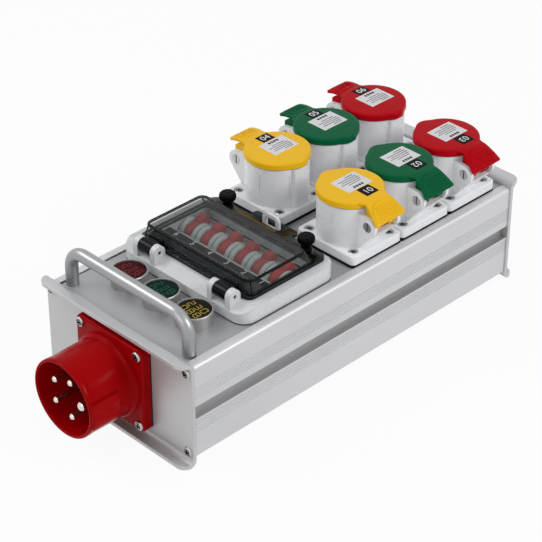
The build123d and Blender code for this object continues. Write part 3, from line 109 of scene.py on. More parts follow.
class Look:
    """Node tree of one material, with short calls for the nodes it is built of."""

    def __init__(self, name):
        self.material = bpy.data.materials.new(name)
        self.material.use_nodes = True
        self.tree = self.material.node_tree
        self.shader = self.tree.nodes["Principled BSDF"]
        self.point = None

    def add(self, kind, **values):
        node = self.tree.nodes.new(kind)
        for key, value in values.items():
            setattr(node, key, value)
        return node

    def link(self, source, target):
        self.tree.links.new(source, target)
        return target

    def place(self):
        if self.point is None:
            self.point = self.add("ShaderNodeTexCoord").outputs["Object"]
        return self.point

    def noise(self, scale, detail=3.0, stretch=(1, 1, 1)):
        mapping = self.add("ShaderNodeMapping")
        mapping.inputs["Scale"].default_value = stretch
        self.link(self.place(), mapping.inputs["Vector"])
        node = self.add("ShaderNodeTexNoise")
        node.inputs["Scale"].default_value = scale
        node.inputs["Detail"].default_value = detail
        self.link(mapping.outputs["Vector"], node.inputs["Vector"])
        return node.outputs["Fac"]

    def range(self, value, low, high, out_low, out_high):
        node = self.add("ShaderNodeMapRange")
        for key, number in zip(("From Min", "From Max", "To Min", "To Max"), (low, high, out_low, out_high)):
            node.inputs[key].default_value = number
        self.link(value, node.inputs["Value"])
        return node.outputs["Result"]

    def math(self, kind, first, second=None):
        node = self.add("ShaderNodeMath", operation=kind)
        for socket, value in zip(node.inputs, (first, second)):
            if value is None:
                continue
            if isinstance(value, (int, float)):
                socket.default_value = value
            else:
                self.link(value, socket)
        return node.outputs[0]

    def axis(self, letter):
        node = self.add("ShaderNodeSeparateXYZ")
        self.link(self.place(), node.inputs[0])
        return node.outputs[letter]

    def mix(self, amount, dark, light):
        node = self.add("ShaderNodeMix", data_type="RGBA")
        for socket, value in ((node.inputs[6], dark), (node.inputs[7], light)):
            if isinstance(value, (tuple, list)):
                socket.default_value = (*value, 1)
            else:
                self.link(value, socket)
        self.link(amount, node.inputs[0])
        return node.outputs[2]

    def surface(self, bumps=(), round_edges=0.0):
        """Bumps are (height, millimetres of depth); round_edges softens sharp CAD edges, in millimetres."""
        normal = None
        if round_edges:
            edge = self.add("ShaderNodeBevel", samples=4)
            edge.inputs["Radius"].default_value = round_edges * MM
            normal = edge.outputs["Normal"]
        for height, depth in bumps:
            bump = self.add("ShaderNodeBump")
            bump.inputs["Distance"].default_value = depth * MM
            self.link(height, bump.inputs["Height"])
            if normal is not None:
                self.link(normal, bump.inputs["Normal"])
            normal = bump.outputs["Normal"]
        if normal is not None:
            self.link(normal, self.shader.inputs["Normal"])
        return self.material

    def set(self, **values):
        for key, value in values.items():
            socket = self.shader.inputs[key.replace("_", " ")]
            socket.default_value = (*value, 1) if isinstance(value, tuple) and len(value) == 3 else value
        return self


def plastic(name, colour, rough=0.3, shine=0.2, tone=0.04, grain=0.01, edges=0.4):
    """Moulded plastic: small colour drift, uneven gloss and a faint moulded texture."""
    look = Look(name)
    look.set(Roughness=rough, IOR=1.5, Specular_IOR_Level=shine)
    dark = tuple(c * (1 - tone) for c in colour)
    light = tuple(min(1.0, c * (1 + tone)) for c in colour)
    look.link(look.mix(look.noise(45.0), dark, light), look.shader.inputs["Base Color"])
    uneven = look.range(look.noise(160.0, 4.0), 0.3, 0.7, rough * 0.9, rough * 1.1)
    look.link(uneven, look.shader.inputs["Roughness"])
    return look.surface([(look.noise(1500.0, 2.0), grain)], edges)


def metal(name, colour, rough, stretch=(1, 1, 1), tone=0.06, depth=0.01, metallic=0.85, edges=0.4,
          spread=0.12):
    """Look, tint and closing call of a metal with streaks along the axis whose stretch is small."""
    look = Look(name)
    look.set(Metallic=metallic)
    fine = look.noise(3200.0, 3.0, stretch)
    broad = look.noise(9.0, 2.0)
    dark = tuple(c * (1 - tone) for c in colour)
    light = tuple(min(1.0, c * (1 + tone)) for c in colour)
    tint = look.mix(look.range(look.math("ADD", fine, broad), 0.6, 1.4, 0, 1), dark, light)
    uneven = look.range(fine, 0.3, 0.7, rough - spread / 2, rough + spread / 2)
    look.link(uneven, look.shader.inputs["Roughness"])
    return look, tint, lambda: look.surface([(fine, depth)], edges)


def finished_metal(*args, **words):
    look, tint, finish = metal(*args, **words)
    look.link(tint, look.shader.inputs["Base Color"])
    return finish()


ALONG_X = (0.006, 1.0, 1.0)
ALONG_Y = (1.0, 0.006, 1.0)
ALONG_Z = (1.0, 1.0, 0.006)
EVEN = (1.0, 1.0, 1.0)


def rail_look():
    """Anodised extrusion with draw lines along X and a dark band in the mid groove."""
    look, tint, finish = metal("rail_anodised", (0.63, 0.632, 0.65), 0.42, ALONG_X, 0.05, 0.002, 0.55, 0.12)
    depth = look.math("ABSOLUTE", look.axis("Y"))
    height = look.math("ABSOLUTE", look.math("SUBTRACT", look.axis("Z"), GROOVE_Z * MM))
    inside = look.math("LESS_THAN", depth, (HALF_WIDTH - 0.6) * MM)
    band = look.math("LESS_THAN", height, GROOVE_HALF * MM)
    groove = look.math("MULTIPLY", inside, band)
    look.link(look.mix(groove, tint, (0.38, 0.38, 0.385)), look.shader.inputs["Base Color"])
    return finish()


def panel_look():
    """Satin sheet that is black where it runs under the rails' edges: painted shade in place of the shadow in
    the seam.
    """
    look, tint, finish = metal("panel_satin", (0.40, 0.405, 0.42), 0.46, ALONG_X, 0.05, 0.002, 0.45, 0.2)
    side = look.math("ABSOLUTE", look.axis("Y"))
    # painted shade: past the seam line the sheet turns black, standing in for the shadow in the gap under the
    # rails' edges
    seam_shade = look.math("GREATER_THAN", side, PANEL_SEAM_Y * MM)
    look.link(look.mix(seam_shade, tint, (0.012, 0.012, 0.012)), look.shader.inputs["Base Color"])
    return finish()


def smoked_look():
    """Smoked clear sheet: thin box walls let light through, the flange and grazing walls are nearly black."""
    look = Look("smoked_clear")
    tree = look.tree
    clear = look.add("ShaderNodeBsdfTransparent")
    facing = look.add("ShaderNodeLayerWeight")
    facing.inputs["Blend"].default_value = 0.35
    grazing = look.range(facing.outputs["Facing"], 0.25, 0.95, 0, 1)
    tone = look.mix(grazing, (0.875, 0.895, 0.895), (0.34, 0.35, 0.355))
    low = look.math("LESS_THAN", look.axis("Z"), COVER_BASE_TOP * MM)
    haze = look.mix(look.noise(60.0, 4.0), (0.93, 0.93, 0.93), (1, 1, 1))
    wipe = look.add("ShaderNodeMix", data_type="RGBA", blend_type="MULTIPLY")
    wipe.inputs[0].default_value = 1.0
    look.link(look.mix(low, tone, (0.30, 0.31, 0.31)), wipe.inputs[6])
    look.link(haze, wipe.inputs[7])
    look.link(wipe.outputs[2], clear.inputs["Color"])
    gloss = look.add("ShaderNodeBsdfGlossy")
    gloss.inputs["Roughness"].default_value = 0.05
    fresnel = look.add("ShaderNodeFresnel")
    fresnel.inputs["IOR"].default_value = 1.45
    outer = look.math("SUBTRACT", 1.0, look.add("ShaderNodeNewGeometry").outputs["Backfacing"])
    blend = look.add("ShaderNodeMixShader")
    look.link(look.math("MULTIPLY", look.math("MULTIPLY", fresnel.outputs[0], outer), 0.75), blend.inputs[0])
    look.link(clear.outputs[0], blend.inputs[1])
    look.link(gloss.outputs[0], blend.inputs[2])
    edge = look.add("ShaderNodeBevel", samples=4)
    edge.inputs["Radius"].default_value = 0.5 * MM
    look.link(edge.outputs["Normal"], gloss.inputs["Normal"])
    output = next(n for n in tree.nodes if n.type == "OUTPUT_MATERIAL")
    look.link(blend.outputs[0], output.inputs["Surface"])
    tree.nodes.remove(look.shader)
    return look.material


def glow(name, colour, strength):
    """Lit display digits."""
    look = Look(name)
    look.set(Base_Color=tuple(c * 0.4 for c in colour), Roughness=0.4, Specular_IOR_Level=0.1,
             Emission_Color=colour)
    look.link(look.range(look.noise(300.0), 0.3, 0.7, strength * 0.85, strength * 1.1),
              look.shader.inputs["Emission Strength"])
    return look.surface()


def paper(name, colour):
    """Printed film, with no softened edges."""
    return plastic(name, colour, 0.45, 0.05, tone=0.03, grain=0.004, edges=0.0)


LOOKS = {
    "rail": rail_look(),
    "panel": panel_look(),
    "plate": finished_metal("plate_satin", (0.55, 0.555, 0.565), 0.45, ALONG_Y, 0.04, 0.002, 0.5, 0.8),
    "handle": finished_metal("handle_satin", (0.34, 0.345, 0.355), 0.36, EVEN, 0.05, 0.003, 0.8, 0.0, 0.1),
    "steel": finished_metal("screw_steel", (0.50, 0.49, 0.48), 0.3, EVEN, 0.1, 0.0, 1.0, 0.15),
    "nickel": finished_metal("pin_nickel", (0.70, 0.67, 0.63), 0.22, ALONG_X, 0.08, 0.0, 1.0, 0.3),
    "brass": finished_metal("contact_brass", (0.75, 0.58, 0.28), 0.35, ALONG_Z, 0.1, 0.002, 1.0, 0.2),
    "copper": finished_metal("spring_copper", (0.62, 0.30, 0.16), 0.35, EVEN, 0.1, 0.002, 1.0, 0.2),
    "ring": finished_metal("meter_ring", (0.40, 0.39, 0.385), 0.36, EVEN, 0.05, 0.0, 0.7, 0.0),
    "white": plastic("white_gloss", (0.83, 0.84, 0.86), 0.28, 0.3, 0.006, 0.001, 0.7),
    "frame": plastic("frame_white", (0.68, 0.69, 0.71), 0.28, 0.3, 0.006, 0.001, 1.2),
    "carrier": plastic("carrier_grey", (0.6, 0.6, 0.61), 0.4),
    "black": plastic("black_gloss", (0.005, 0.005, 0.006), 0.14, 0.09, 0.2, 0.002, 0.9),
    "knurl": plastic("thumb_black", (0.003, 0.003, 0.004), 0.3, 0.04, 0.3, 0.004, 0.15),
    "rubber": plastic("gasket_black", (0.008, 0.008, 0.008), 0.7, 0.1, 0.3, 0.02, 0.2),
    "red_inlet": plastic("inlet_red", (0.34, 0.0005, 0.002), 0.16, 0.035, 0.05, 0.003, 0.5),
    # painted shade: a darker red for the inlet's inner parts, standing in for the shadow deep in the mouth
    "red_painted_shade": plastic("inlet_red_painted_shade", (0.15, 0.0012, 0.003), 0.3, 0.06, 0.08, 0.004, 0.4),
    "yellow": plastic("lid_yellow", (0.86, 0.49, 0.010), 0.24, 0.12, 0.03, 0.003, 0.4),
    "green": plastic("lid_green", (0.0015, 0.105, 0.040), 0.2, 0.05, 0.06, 0.003, 0.4),
    "red": plastic("lid_red", (0.44, 0.0015, 0.007), 0.2, 0.04, 0.05, 0.003, 0.4),
    "toggle": plastic("toggle_red", (0.50, 0.065, 0.068), 0.35, 0.12, 0.06, 0.004, 0.5),
    "breaker": plastic("breaker_grey", (0.50, 0.53, 0.53), 0.42, 0.2, 0.03, 0.006, 0.5),
    "ledge": plastic("ledge_grey", (0.085, 0.09, 0.095), 0.45, 0.1, 0.3, 0.01, 0.1),
    "cheek": plastic("cheek_grey", (0.62, 0.65, 0.63), 0.4, 0.2, 0.03, 0.004, 0.3),
    "strip": plastic("strip_black", (0.0015, 0.0015, 0.002), 0.7, 0.03, 0.1, 0.002, 0.04),
    "dark": plastic("dark_grey", (0.016, 0.017, 0.018), 0.4, 0.15, 0.1, 0.006, 0.3),
    "glass_red": plastic("meter_glass_red", (0.045, 0.004, 0.006), 0.10, 0.03, 0.3, 0.0, 0.0),
    "glass_green": plastic("meter_glass_green", (0.002, 0.017, 0.011), 0.10, 0.03, 0.3, 0.0, 0.0),
    "glass_amber": plastic("meter_glass_amber", (0.012, 0.010, 0.004), 0.10, 0.03, 0.3, 0.0, 0.0),
    "paper": paper("label_white", (0.70, 0.70, 0.72)),
    "print": paper("print_black", (0.004, 0.004, 0.004)),
    "print_white": paper("print_white", (0.8, 0.8, 0.8)),
    "print_grey": paper("print_grey", (0.035, 0.037, 0.042)),
    "amber": plastic("seal_amber", (0.10, 0.062, 0.012), 0.4, 0.10, 0.4, 0.006, 0.2),
    "glow_red": glow("digits_red", (0.45, 0.05, 0.06), 0.10),
    "glow_green": glow("digits_green", (0.03, 0.24, 0.14), 0.06),
    "glow_amber": glow("digits_amber", (0.74, 0.55, 0.10), 0.20),
    "smoked": smoked_look(),
}


# Mesh building

def mesh_piece(name, verts, faces, look, body, slot, smooth=35.0, replaces=(), looks=None, marks=None):
    """A piece from millimetre points. looks and marks give further materials and each face's material."""
    mesh = bpy.data.meshes.new(name)
    mesh.from_pydata([Vector(v) * MM for v in verts], [], faces)
    mesh.materials.append(LOOKS[look])
    for extra in looks or ():
        mesh.materials.append(LOOKS[extra])
    if marks:
        mesh.polygons.foreach_set("material_index", marks)
    work = bmesh.new()
    work.from_mesh(mesh)
    bmesh.ops.recalc_face_normals(work, faces=work.faces)
    for edge in work.edges:
        if len(edge.link_faces) == 2:
            edge.smooth = edge.calc_face_angle(0) < math.radians(smooth)
    for face in work.faces:
        face.smooth = True
    work.to_mesh(mesh)
    work.free()
    obj = bpy.data.objects.new(name, mesh)
    bpy.context.scene.collection.objects.link(obj)
    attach(obj, body)
    if replaces:
        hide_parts(*replaces)
    return obj


class Solid:
    """Points and faces gathered for one piece, with the material index of each face."""

    def __init__(self):
        self.verts = []
        self.faces = []
        self.marks = []

    def take(self, verts, faces, mark=0, turn=None):
        start = len(self.verts)
        self.verts += [turn @ Vector(v) if turn else Vector(v) for v in verts]
        self.faces += [[i + start for i in f] for f in faces]
        self.marks += mark if isinstance(mark, list) else [mark] * len(faces)
        return self

    def loft(self, rings, mark=0, turn=None, caps=(True, True), closed=False):
        """A skin through rings of equally many points; each ring is a closed loop."""
        count = len(rings[0])
        verts = [p for ring in rings for p in ring]
        faces = []
        pairs = list(zip(range(len(rings) - 1), range(1, len(rings))))
        if closed:
            pairs.append((len(rings) - 1, 0))
        for low, high in pairs:
            for k in range(count):
                n = (k + 1) % count
                faces.append([low * count + k, low * count + n, high * count + n, high * count + k])
        if caps[0] and not closed:
            faces.append(list(range(count))[::-1])
        if caps[1] and not closed:
            faces.append([(len(rings) - 1) * count + k for k in range(count)])
        return self.take(verts, faces, mark, turn)

    def lathe(self, profile, segments=64, mark=0, turn=None, wave=None, closed=False):
        """Rings about the local Z axis from (radius, height) pairs. wave scales the radius by angle."""
        rings = []
        for radius, height in profile:
            ring = []
            for k in range(segments):
                angle = 2 * math.pi * k / segments
                r = radius * (wave(angle) if wave else 1.0)
                ring.append((r * math.cos(angle), r * math.sin(angle), height))
            rings.append(ring)
        return self.loft(rings, mark, turn, closed=closed)

    def piece(self, name, look, body, slot, **words):
        return mesh_piece(name, self.verts, self.faces, look, body, slot,
                          marks=self.marks if words.get("looks") else None, **words)


def rounded(width, depth, radius, centre=(0, 0), height=0.0, steps=6):
    """Points of a rounded rectangle in the XY plane."""
    points = []
    for sx, sy, start in ((1, 1, 0), (-1, 1, 90), (-1, -1, 180), (1, -1, 270)):
        cx = centre[0] + sx * (width / 2 - radius)
        cy = centre[1] + sy * (depth / 2 - radius)
        for k in range(steps + 1):
            a = math.radians(start + 90 * k / steps)
            points.append((cx + radius * math.cos(a), cy + radius * math.sin(a), height))
    return points


def pillow(width, depth, radius, high, soft, steps=6):
    """Rings of a plate that stands on z = 0, with rounded corners and a rounded upper edge."""
    rings = [rounded(width, depth, radius, steps=steps)]
    for k in range(5):
        a = math.radians(90 * k / 4)
        inset = soft * (1 - math.cos(a))
        rings.append(rounded(width - 2 * inset, depth - 2 * inset, max(radius - inset, 0.1),
                             height=high - soft + soft * math.sin(a), steps=steps))
    return rings


def round_ring(centre, radius, first, second, count):
    """Points of a circle about a centre, in the plane of two directions."""
    turns = [2 * math.pi * k / count for k in range(count)]
    return [centre + radius * (math.cos(a) * first + math.sin(a) * second) for a in turns]


def stand(axis, x, y, z):
    """Places a piece built about local Z at a point, with its Z along +x, -x, +y, -y or +z."""
    turn = {"+x": Matrix.Rotation(math.radians(90), 4, "Y"), "-x": Matrix.Rotation(math.radians(-90), 4, "Y"),
            "+y": Matrix.Rotation(math.radians(-90), 4, "X"), "-y": Matrix.Rotation(math.radians(90), 4, "X"),
            "+z": Matrix.Identity(4)}[axis]
    return Matrix.Translation((x, y, z)) @ turn


def plate_from(outline, low, high, lift):
    """Two rings of one outline, placed by lift(u, v, w)."""
    return [[lift(u, v, low) for u, v in outline], [lift(u, v, high) for u, v in outline]]


def dress(look, *names):
    """Gives CAD nodes a material in place of their own."""
    for name in names:
        obj = nodes[name]
        for slot in obj.material_slots:
            slot.material = LOOKS[look]


def cross_head(radius, height):
    """Verts, faces and marks of a pan head on z = 0 with a cross recess, whose faces are marked 1 for a dark
    material: painted shade in the recess.
    """
    head = Solid()
    rim = 0.35
    profile = [(radius, 0.0), (radius, height * rim)]
    for k in range(1, 7):
        a = math.radians(90 * k / 6)
        profile.append((radius * math.cos(a) * 0.999 + 0.001, height * (rim + (1 - rim) * math.sin(a))))
    profile[-1] = (0.02, height)
    head.lathe(profile, 32)
    cutter = Solid()
    arm, wide = radius * 0.62, radius * 0.19
    for w, d in ((2 * arm, 2 * wide), (2 * wide, 2 * arm)):
        cutter.loft([[(-w * part, -d * part, z), (w * part, -d * part, z), (w * part, d * part, z),
                      (-w * part, d * part, z)] for part, z in ((0.36, height * 0.15), (0.5, height * 1.1))])
    meshes = []
    for solid in (head, cutter):
        mesh = bpy.data.meshes.new("temporary")
        mesh.from_pydata([tuple(v) for v in solid.verts], [], solid.faces)
        meshes.append(bpy.data.objects.new("temporary", mesh))
        bpy.context.scene.collection.objects.link(meshes[-1])
    cut = meshes[0].modifiers.new("cut", "BOOLEAN")
    cut.object = meshes[1]
    cut.operation = "DIFFERENCE"
    cut.solver = "EXACT"
    cut.use_self = True
    bpy.context.view_layer.update()
    done = bpy.data.meshes.new_from_object(meshes[0].evaluated_get(bpy.context.evaluated_depsgraph_get()))
    verts = [tuple(v.co) for v in done.vertices]
    faces = [list(p.vertices) for p in done.polygons]
    # painted shade: faces inside the cross recess are marked for the dark material
    marks = [int(math.hypot(*p.center[:2]) < arm and p.center.z < height * 0.9) for p in done.polygons]
    for obj in meshes:
        bpy.data.objects.remove(obj)
    return verts, faces, marks


def screws(name, places, radius, height, replaces):
    """One piece of screw heads, each turned a little differently, with painted shade: the cross recesses take
    the dark material.
    """
    verts, faces, marks = cross_head(radius, height)
    solid = Solid()
    for k, (axis, x, y, z) in enumerate(places):
        turn = stand(axis, x, y, z) @ Matrix.Rotation(math.radians(37 * k % 90), 4, "Z")
        solid.take(verts, faces, marks, turn)
    solid.piece(name, "steel", "case", "steel_screws", replaces=replaces, looks=("dark",))


def words_mesh(text, size, centre, up, look, name, body):
    """Flat raised characters centred on a point, facing +Z, with up as their upward direction."""
    curve = bpy.data.curves.new(name, "FONT")
    curve.body = text
    curve.size = size
    curve.align_x = "CENTER"
    curve.align_y = "CENTER"
    curve.extrude = 0.04
    source = bpy.data.objects.new(name + "_source", curve)
    bpy.context.scene.collection.objects.link(source)
    bpy.context.view_layer.update()
    mesh = bpy.data.meshes.new_from_object(source.evaluated_get(bpy.context.evaluated_depsgraph_get()))
    bpy.data.objects.remove(source)
    upward = Vector((*up, 0)).normalized()
    across = upward.cross(Vector((0, 0, 1)))
    turn = Matrix((across, upward, Vector((0, 0, 1)))).transposed().to_4x4()
    place = Matrix.Scale(MM, 4) @ Matrix.Translation(centre) @ turn
    mesh.transform(place)
    mesh.materials.clear()
    mesh.materials.append(LOOKS[look])
    obj = bpy.data.objects.new(name, mesh)
    bpy.context.scene.collection.objects.link(obj)
    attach(obj, body)


def box_outline(u, v, half_u, half_v):
    """Corners of a rectangle about a point."""
    return [(u + du * half_u, v + dv * half_v) for du, dv in ((-1, -1), (1, -1), (1, 1), (-1, 1))]


# Materials of the CAD nodes

dress("rail", "side_rail_left", "side_rail_right")
dress("panel", "top_panel", "bottom_panel")
dress("plate", "front_plate", "rear_plate")
dress("rubber", "inlet_gasket", "window_gasket", "outlet_gaskets")
dress("steel", "handle_screws", "lid_pins", "din_rail", "din_rail_brackets")
dress("copper", "lid_springs")
dress("dark", "cover_hinge_pins")
dress("brass", "outlet_contacts", "terminal_bars")
dress("black", "meter_nuts", "cover_knuckles")
dress("white", *[f"outlet_housing_{k}" for k in range(1, 7)])
dress("frame", "window_frame")
dress("carrier", "outlet_carriers")
dress("nickel", "inlet_pins")
# painted shade: the pin carrier deep in the inlet's mouth takes the darker red
dress("red_painted_shade", "inlet_pin_carrier")
dress("breaker", *[f"breaker_{k}" for k in range(1, 7)])
dress("smoked", "window_cover")


# Pieces on the case

def handle():
    """Bent round bar with its feet on the top panel."""
    x, half, rise, bend, radius = X_FRONT + 9.0, 62.5, Z_TOP + 29.0, 15.0, 5.0
    path = [(x, -half, Z_SEAT)]
    for sy, start in ((-1, 180), (1, 90)):
        for k in range(13):
            a = math.radians(start - 90 * k / 12)
            path.append((x, sy * (half - bend) + bend * math.cos(a), rise - bend + bend * math.sin(a)))
    path.append((x, half, Z_SEAT))
    rings = []
    for index, p in enumerate(path):
        before, after = Vector(path[max(index - 1, 0)]), Vector(path[min(index + 1, len(path) - 1)])
        along = (after - before).normalized()
        side = Vector((1, 0, 0))
        across = along.cross(side)
        rings.append(round_ring(Vector(p), radius, side, across, 32))
    Solid().loft(rings).piece("handle_bar", "handle", "case", "handle_aluminium", replaces=("handle",))


def inlet():
    """Flange and collar of the supply inlet, with the raised key under the collar."""
    solid = Solid()
    turn = stand("-x", INLET_BACK_X, 0, INLET_Z)
    start = INLET_BACK_X - INLET_FACE_X
    end = INLET_BACK_X - MOUTH_X
    inner = INLET_BACK_X - SHOULDER_X
    solid.loft(pillow(INLET_FLANGE, INLET_FLANGE, 5, start, 1.9, steps=8), turn=turn)
    profile = [(33, start - 1), (33, start + 3.2), (32.6, start + 3.9), (31.8, start + 4.3),
               (31.2, start + 5.2), (31.0, start + 7), (30.75, end - 6), (30.8, end - 5.4),
               (31.0, end - 5.0), (31.0, end - 1.4), (30.7, end - 0.5), (30.1, end),
               (29.1, end), (28.5, end - 0.5), (28.3, end - 1.4), (28.4, inner + 1),
               (28.0, inner), (24.0, inner), (24.0, start - 1)]
    solid.lathe(profile, 96, turn=turn, closed=True)
    key_turn, key_foot, key_root, key_top = 18.5, 30.6, 29.6, 33.4
    rings = []
    for along, rise in ((0.9, 0.0), (1.1, 0.8), (1.6, 1.0), (25.0, 1.0), (25.8, 0.7), (26.4, 0.0)):
        ring = []
        for k in range(17):
            turned = key_turn * min(max((k - 8) / 6.0, -1), 1)
            flat = 32.6 / math.cos(math.radians(turned)) if 1 < k < 15 else key_foot
            reach = key_foot + rise * (min(flat, key_top) - key_foot)
            a = math.radians(180 + turned)
            ring.append(Vector((MOUTH_X + along, reach * math.cos(a), INLET_Z + reach * math.sin(a))))
        for k in range(17):
            a = math.radians(180 + key_turn * (1 - k / 8))
            ring.append(Vector((MOUTH_X + along, key_root * math.cos(a), INLET_Z + key_root * math.sin(a))))
        rings.append(ring)
    solid.loft(rings)
    solid.piece("inlet_shell", "red_inlet", "case", "red_inlet_plastic", smooth=40,
                replaces=("inlet_housing",))


def inlet_barrel():
    """Rear sleeve of the inlet, inside the case."""
    solid = Solid()
    solid.lathe([(27, 0), (27, 19), (24, 19), (24, 0)], 64, turn=stand("+x", -151.0, 0, INLET_Z), closed=True)
    # painted shade: the sleeve inside the case takes the darker red
    solid.piece("inlet_barrel", "red_painted_shade", "case", "red_inlet_plastic")


def meters():
    """Metal rings with a flat floor, seven-segment digits in two rows and tinted windows."""
    segments = {"a": (0, 1, "h"), "b": (1, 0.5, "v"), "c": (1, -0.5, "v"), "d": (0, -1, "h"),
                "e": (-1, -0.5, "v"), "f": (-1, 0.5, "v"), "g": (0, 0, "h")}
    digits = {"0": "abcdef", "1": "bc", "2": "abged", "3": "abgcd", "4": "fgbc", "5": "afgcd", "6": "afgedc",
              "7": "abc", "8": "abcdefg", "9": "abcdfg"}
    rows = (("230", "088"), ("238", "096"), ("236", "080"))
    for index, (tone, numbers) in enumerate(zip(("amber", "green", "red"), rows)):
        y = (index - 1) * METER_PITCH
        ring = Solid()
        ring.lathe([(14.0, Z_SEAT), (14.0, 93.9), (13.9, 94.5), (13.6, 94.9), (13.3, 95.0), (13.0, 94.9),
                    (12.85, 94.4), (12.8, METER_FLOOR), (0.05, METER_FLOOR), (0.05, Z_SEAT)], 64,
                   turn=Matrix.Translation((METER_X, y, 0)), closed=True)
        ring.lathe([(10.9, Z_SEAT - 28), (10.9, Z_SEAT)], 32, turn=Matrix.Translation((METER_X, y, 0)))
        ring.piece(f"meter_ring_{index + 1}", "ring", "case", "meter_metal",
                   replaces=(f"meter_body_{index + 1}",))
        show = Solid()
        for row, number in zip((3.6, -3.6), numbers):
            for place, digit in enumerate(number):
                middle = (place - 1) * 6.6
                for key in digits[digit]:
                    u, v, kind = segments[key]
                    u, v = middle + u * 2.0, row + v * 2.75
                    a, b = (1.55, 0.3) if kind == "h" else (0.3, 1.1)
                    lift = lambda p, q, w: Vector((METER_X + q, y - p, w))
                    show.loft(plate_from(box_outline(u, v, a, b), 94.0, 94.12, lift))
        show.piece(f"meter_digits_{index + 1}", f"glow_{tone}", "case", "meter_lens")
    lens = Solid()
    for mark, y in enumerate((-METER_PITCH, 0, METER_PITCH)):
        lens.lathe([(12.82, METER_FLOOR), (12.82, 93.7), (12.5, 94.0), (0.05, 94.02)], 64, mark,
                   Matrix.Translation((METER_X, y, 0)))
    lens.piece("meter_windows", "glass_amber", "case", "meter_lens", replaces=("meter_lenses",),
               looks=("glass_green", "glass_red"))


def thumbscrews():
    """Fluted knobs on a plain shank."""
    for name, side in (("thumbscrew_left", 1), ("thumbscrew_right", -1)):
        knurl = Solid()
        wave = lambda a: 1 - 0.11 * (1 - abs(math.sin(7 * a))) ** 1.5
        place = Matrix.Translation((THUMB_X, side * THUMB_Y, 0))
        knurl.lathe([(2.0, 89.8), (2.0, 100.4), (4.4, 100.4), (4.5, 100.8), (4.1, 101.4), (3.9, 103.0),
                     (4.1, 105.4), (5.0, 106.3)], 48, turn=place)
        knurl.lathe([(4.6, 105.9), (5.7, 106.3), (6.4, 107.0), (6.6, 107.9), (6.6, 109.9), (6.4, 110.9),
                     (5.9, 111.6), (5.3, 111.9)], 132, turn=place, wave=wave)
        knurl.lathe([(5.5, 111.5), (5.1, 112.1), (4.4, 112.25), (3.5, 112.0), (2.2, 112.2), (0.05, 112.4)],
                    48, turn=place)
        knurl.piece(name + "_knob", "knurl", name, "thumb_black", smooth=50, replaces=(name,))


def cover_trim():
    """Painted shade: black rods along the smoked cover's edges, round its foot, round its roof and up its
    corners, standing in for the dark look of the tinted sheet's edges.
    """
    edge_shade = Solid()
    upward = Vector((0, 0, 1))
    steps = 5
    base = rounded(64.5 - 0.4, 115 - 0.4, 5, (X_FRONT + 105.25, 0), COVER_BASE_TOP, steps)
    roof = rounded(57.7 - 0.6, 109.6 - 0.6, 5, (X_FRONT + 102.65, 0), COVER_ROOF_EDGE, steps)
    for outline, radius in ((base, 0.8), (roof, 1.15)):
        count = len(outline)
        rings = []
        for k in range(count):
            before, here, after = (Vector(outline[(k + d) % count]) for d in (-1, 0, 1))
            along = (after - before).normalized()
            rings.append(round_ring(here, radius, along.cross(upward), upward, 8))
        edge_shade.loft(rings, closed=True)
    middle = 3
    for k in range(4):
        low, high = (Vector(edge[k * (steps + 1) + middle]) for edge in (base, roof))
        along = (high - low).normalized()
        side = along.cross(upward).normalized()
        edge_shade.loft([round_ring(p, 0.7, side, along.cross(side), 8) for p in (low, high)])
    # painted shade: black rods on the clear box's edges
    edge_shade.piece("cover_edges_painted_shade", "black", "cover", "smoked_cover")


def breakers():
    """Round cheeks beside each toggle, dark marks on the noses and the strip's numbers."""
    cheeks = Solid()
    prints = Solid()
    reach_out, stump = 10.9, 3.4
    for y in BREAKER_Y:
        for side in (-1, 1):
            low, high = sorted((y + side * 4.7, y + side * 8.5))
            loops = []
            for share, inset in ((0.0, 0.9), (0.03, 0.3), (0.14, 0.0), (0.86, 0.0), (0.97, 0.3), (1.0, 0.9)):
                reach = reach_out - inset
                end = math.asin(stump / reach)
                angles = [end + (math.pi - 2 * end) * k / 24 for k in range(25)]
                loops.append([Vector((BREAKER_X + reach * math.cos(a), low + (high - low) * share,
                                      BREAKER_AXIS_Z + reach * math.sin(a))) for a in angles])
            cheeks.loft(loops)
        lift = lambda p, q, w: Vector((BREAKER_X + p, y + q, w))
        for u, a, b in ((-12.9, 0.35, 6.4), (14.5, 0.4, 5.5), (16.3, 0.4, 4.0), (19.0, 1.2, 6.0)):
            prints.loft(plate_from(box_outline(u, 0, a, b), NOSE_TOP - 0.02, NOSE_TOP + 0.1, lift))
    cheeks.piece("breaker_cheeks", "cheek", "case", "breaker_grey")
    prints.piece("breaker_prints", "print_grey", "case", "breaker_grey")
    for index, y in enumerate(BREAKER_Y):
        number = 6 - index
        words_mesh(str(number), 7.4, (X_FRONT + 93.6, y - 2.0, LABEL_TOP + 0.08), (1, 0), "print_white",
                   f"strip_number_{number}", "case")


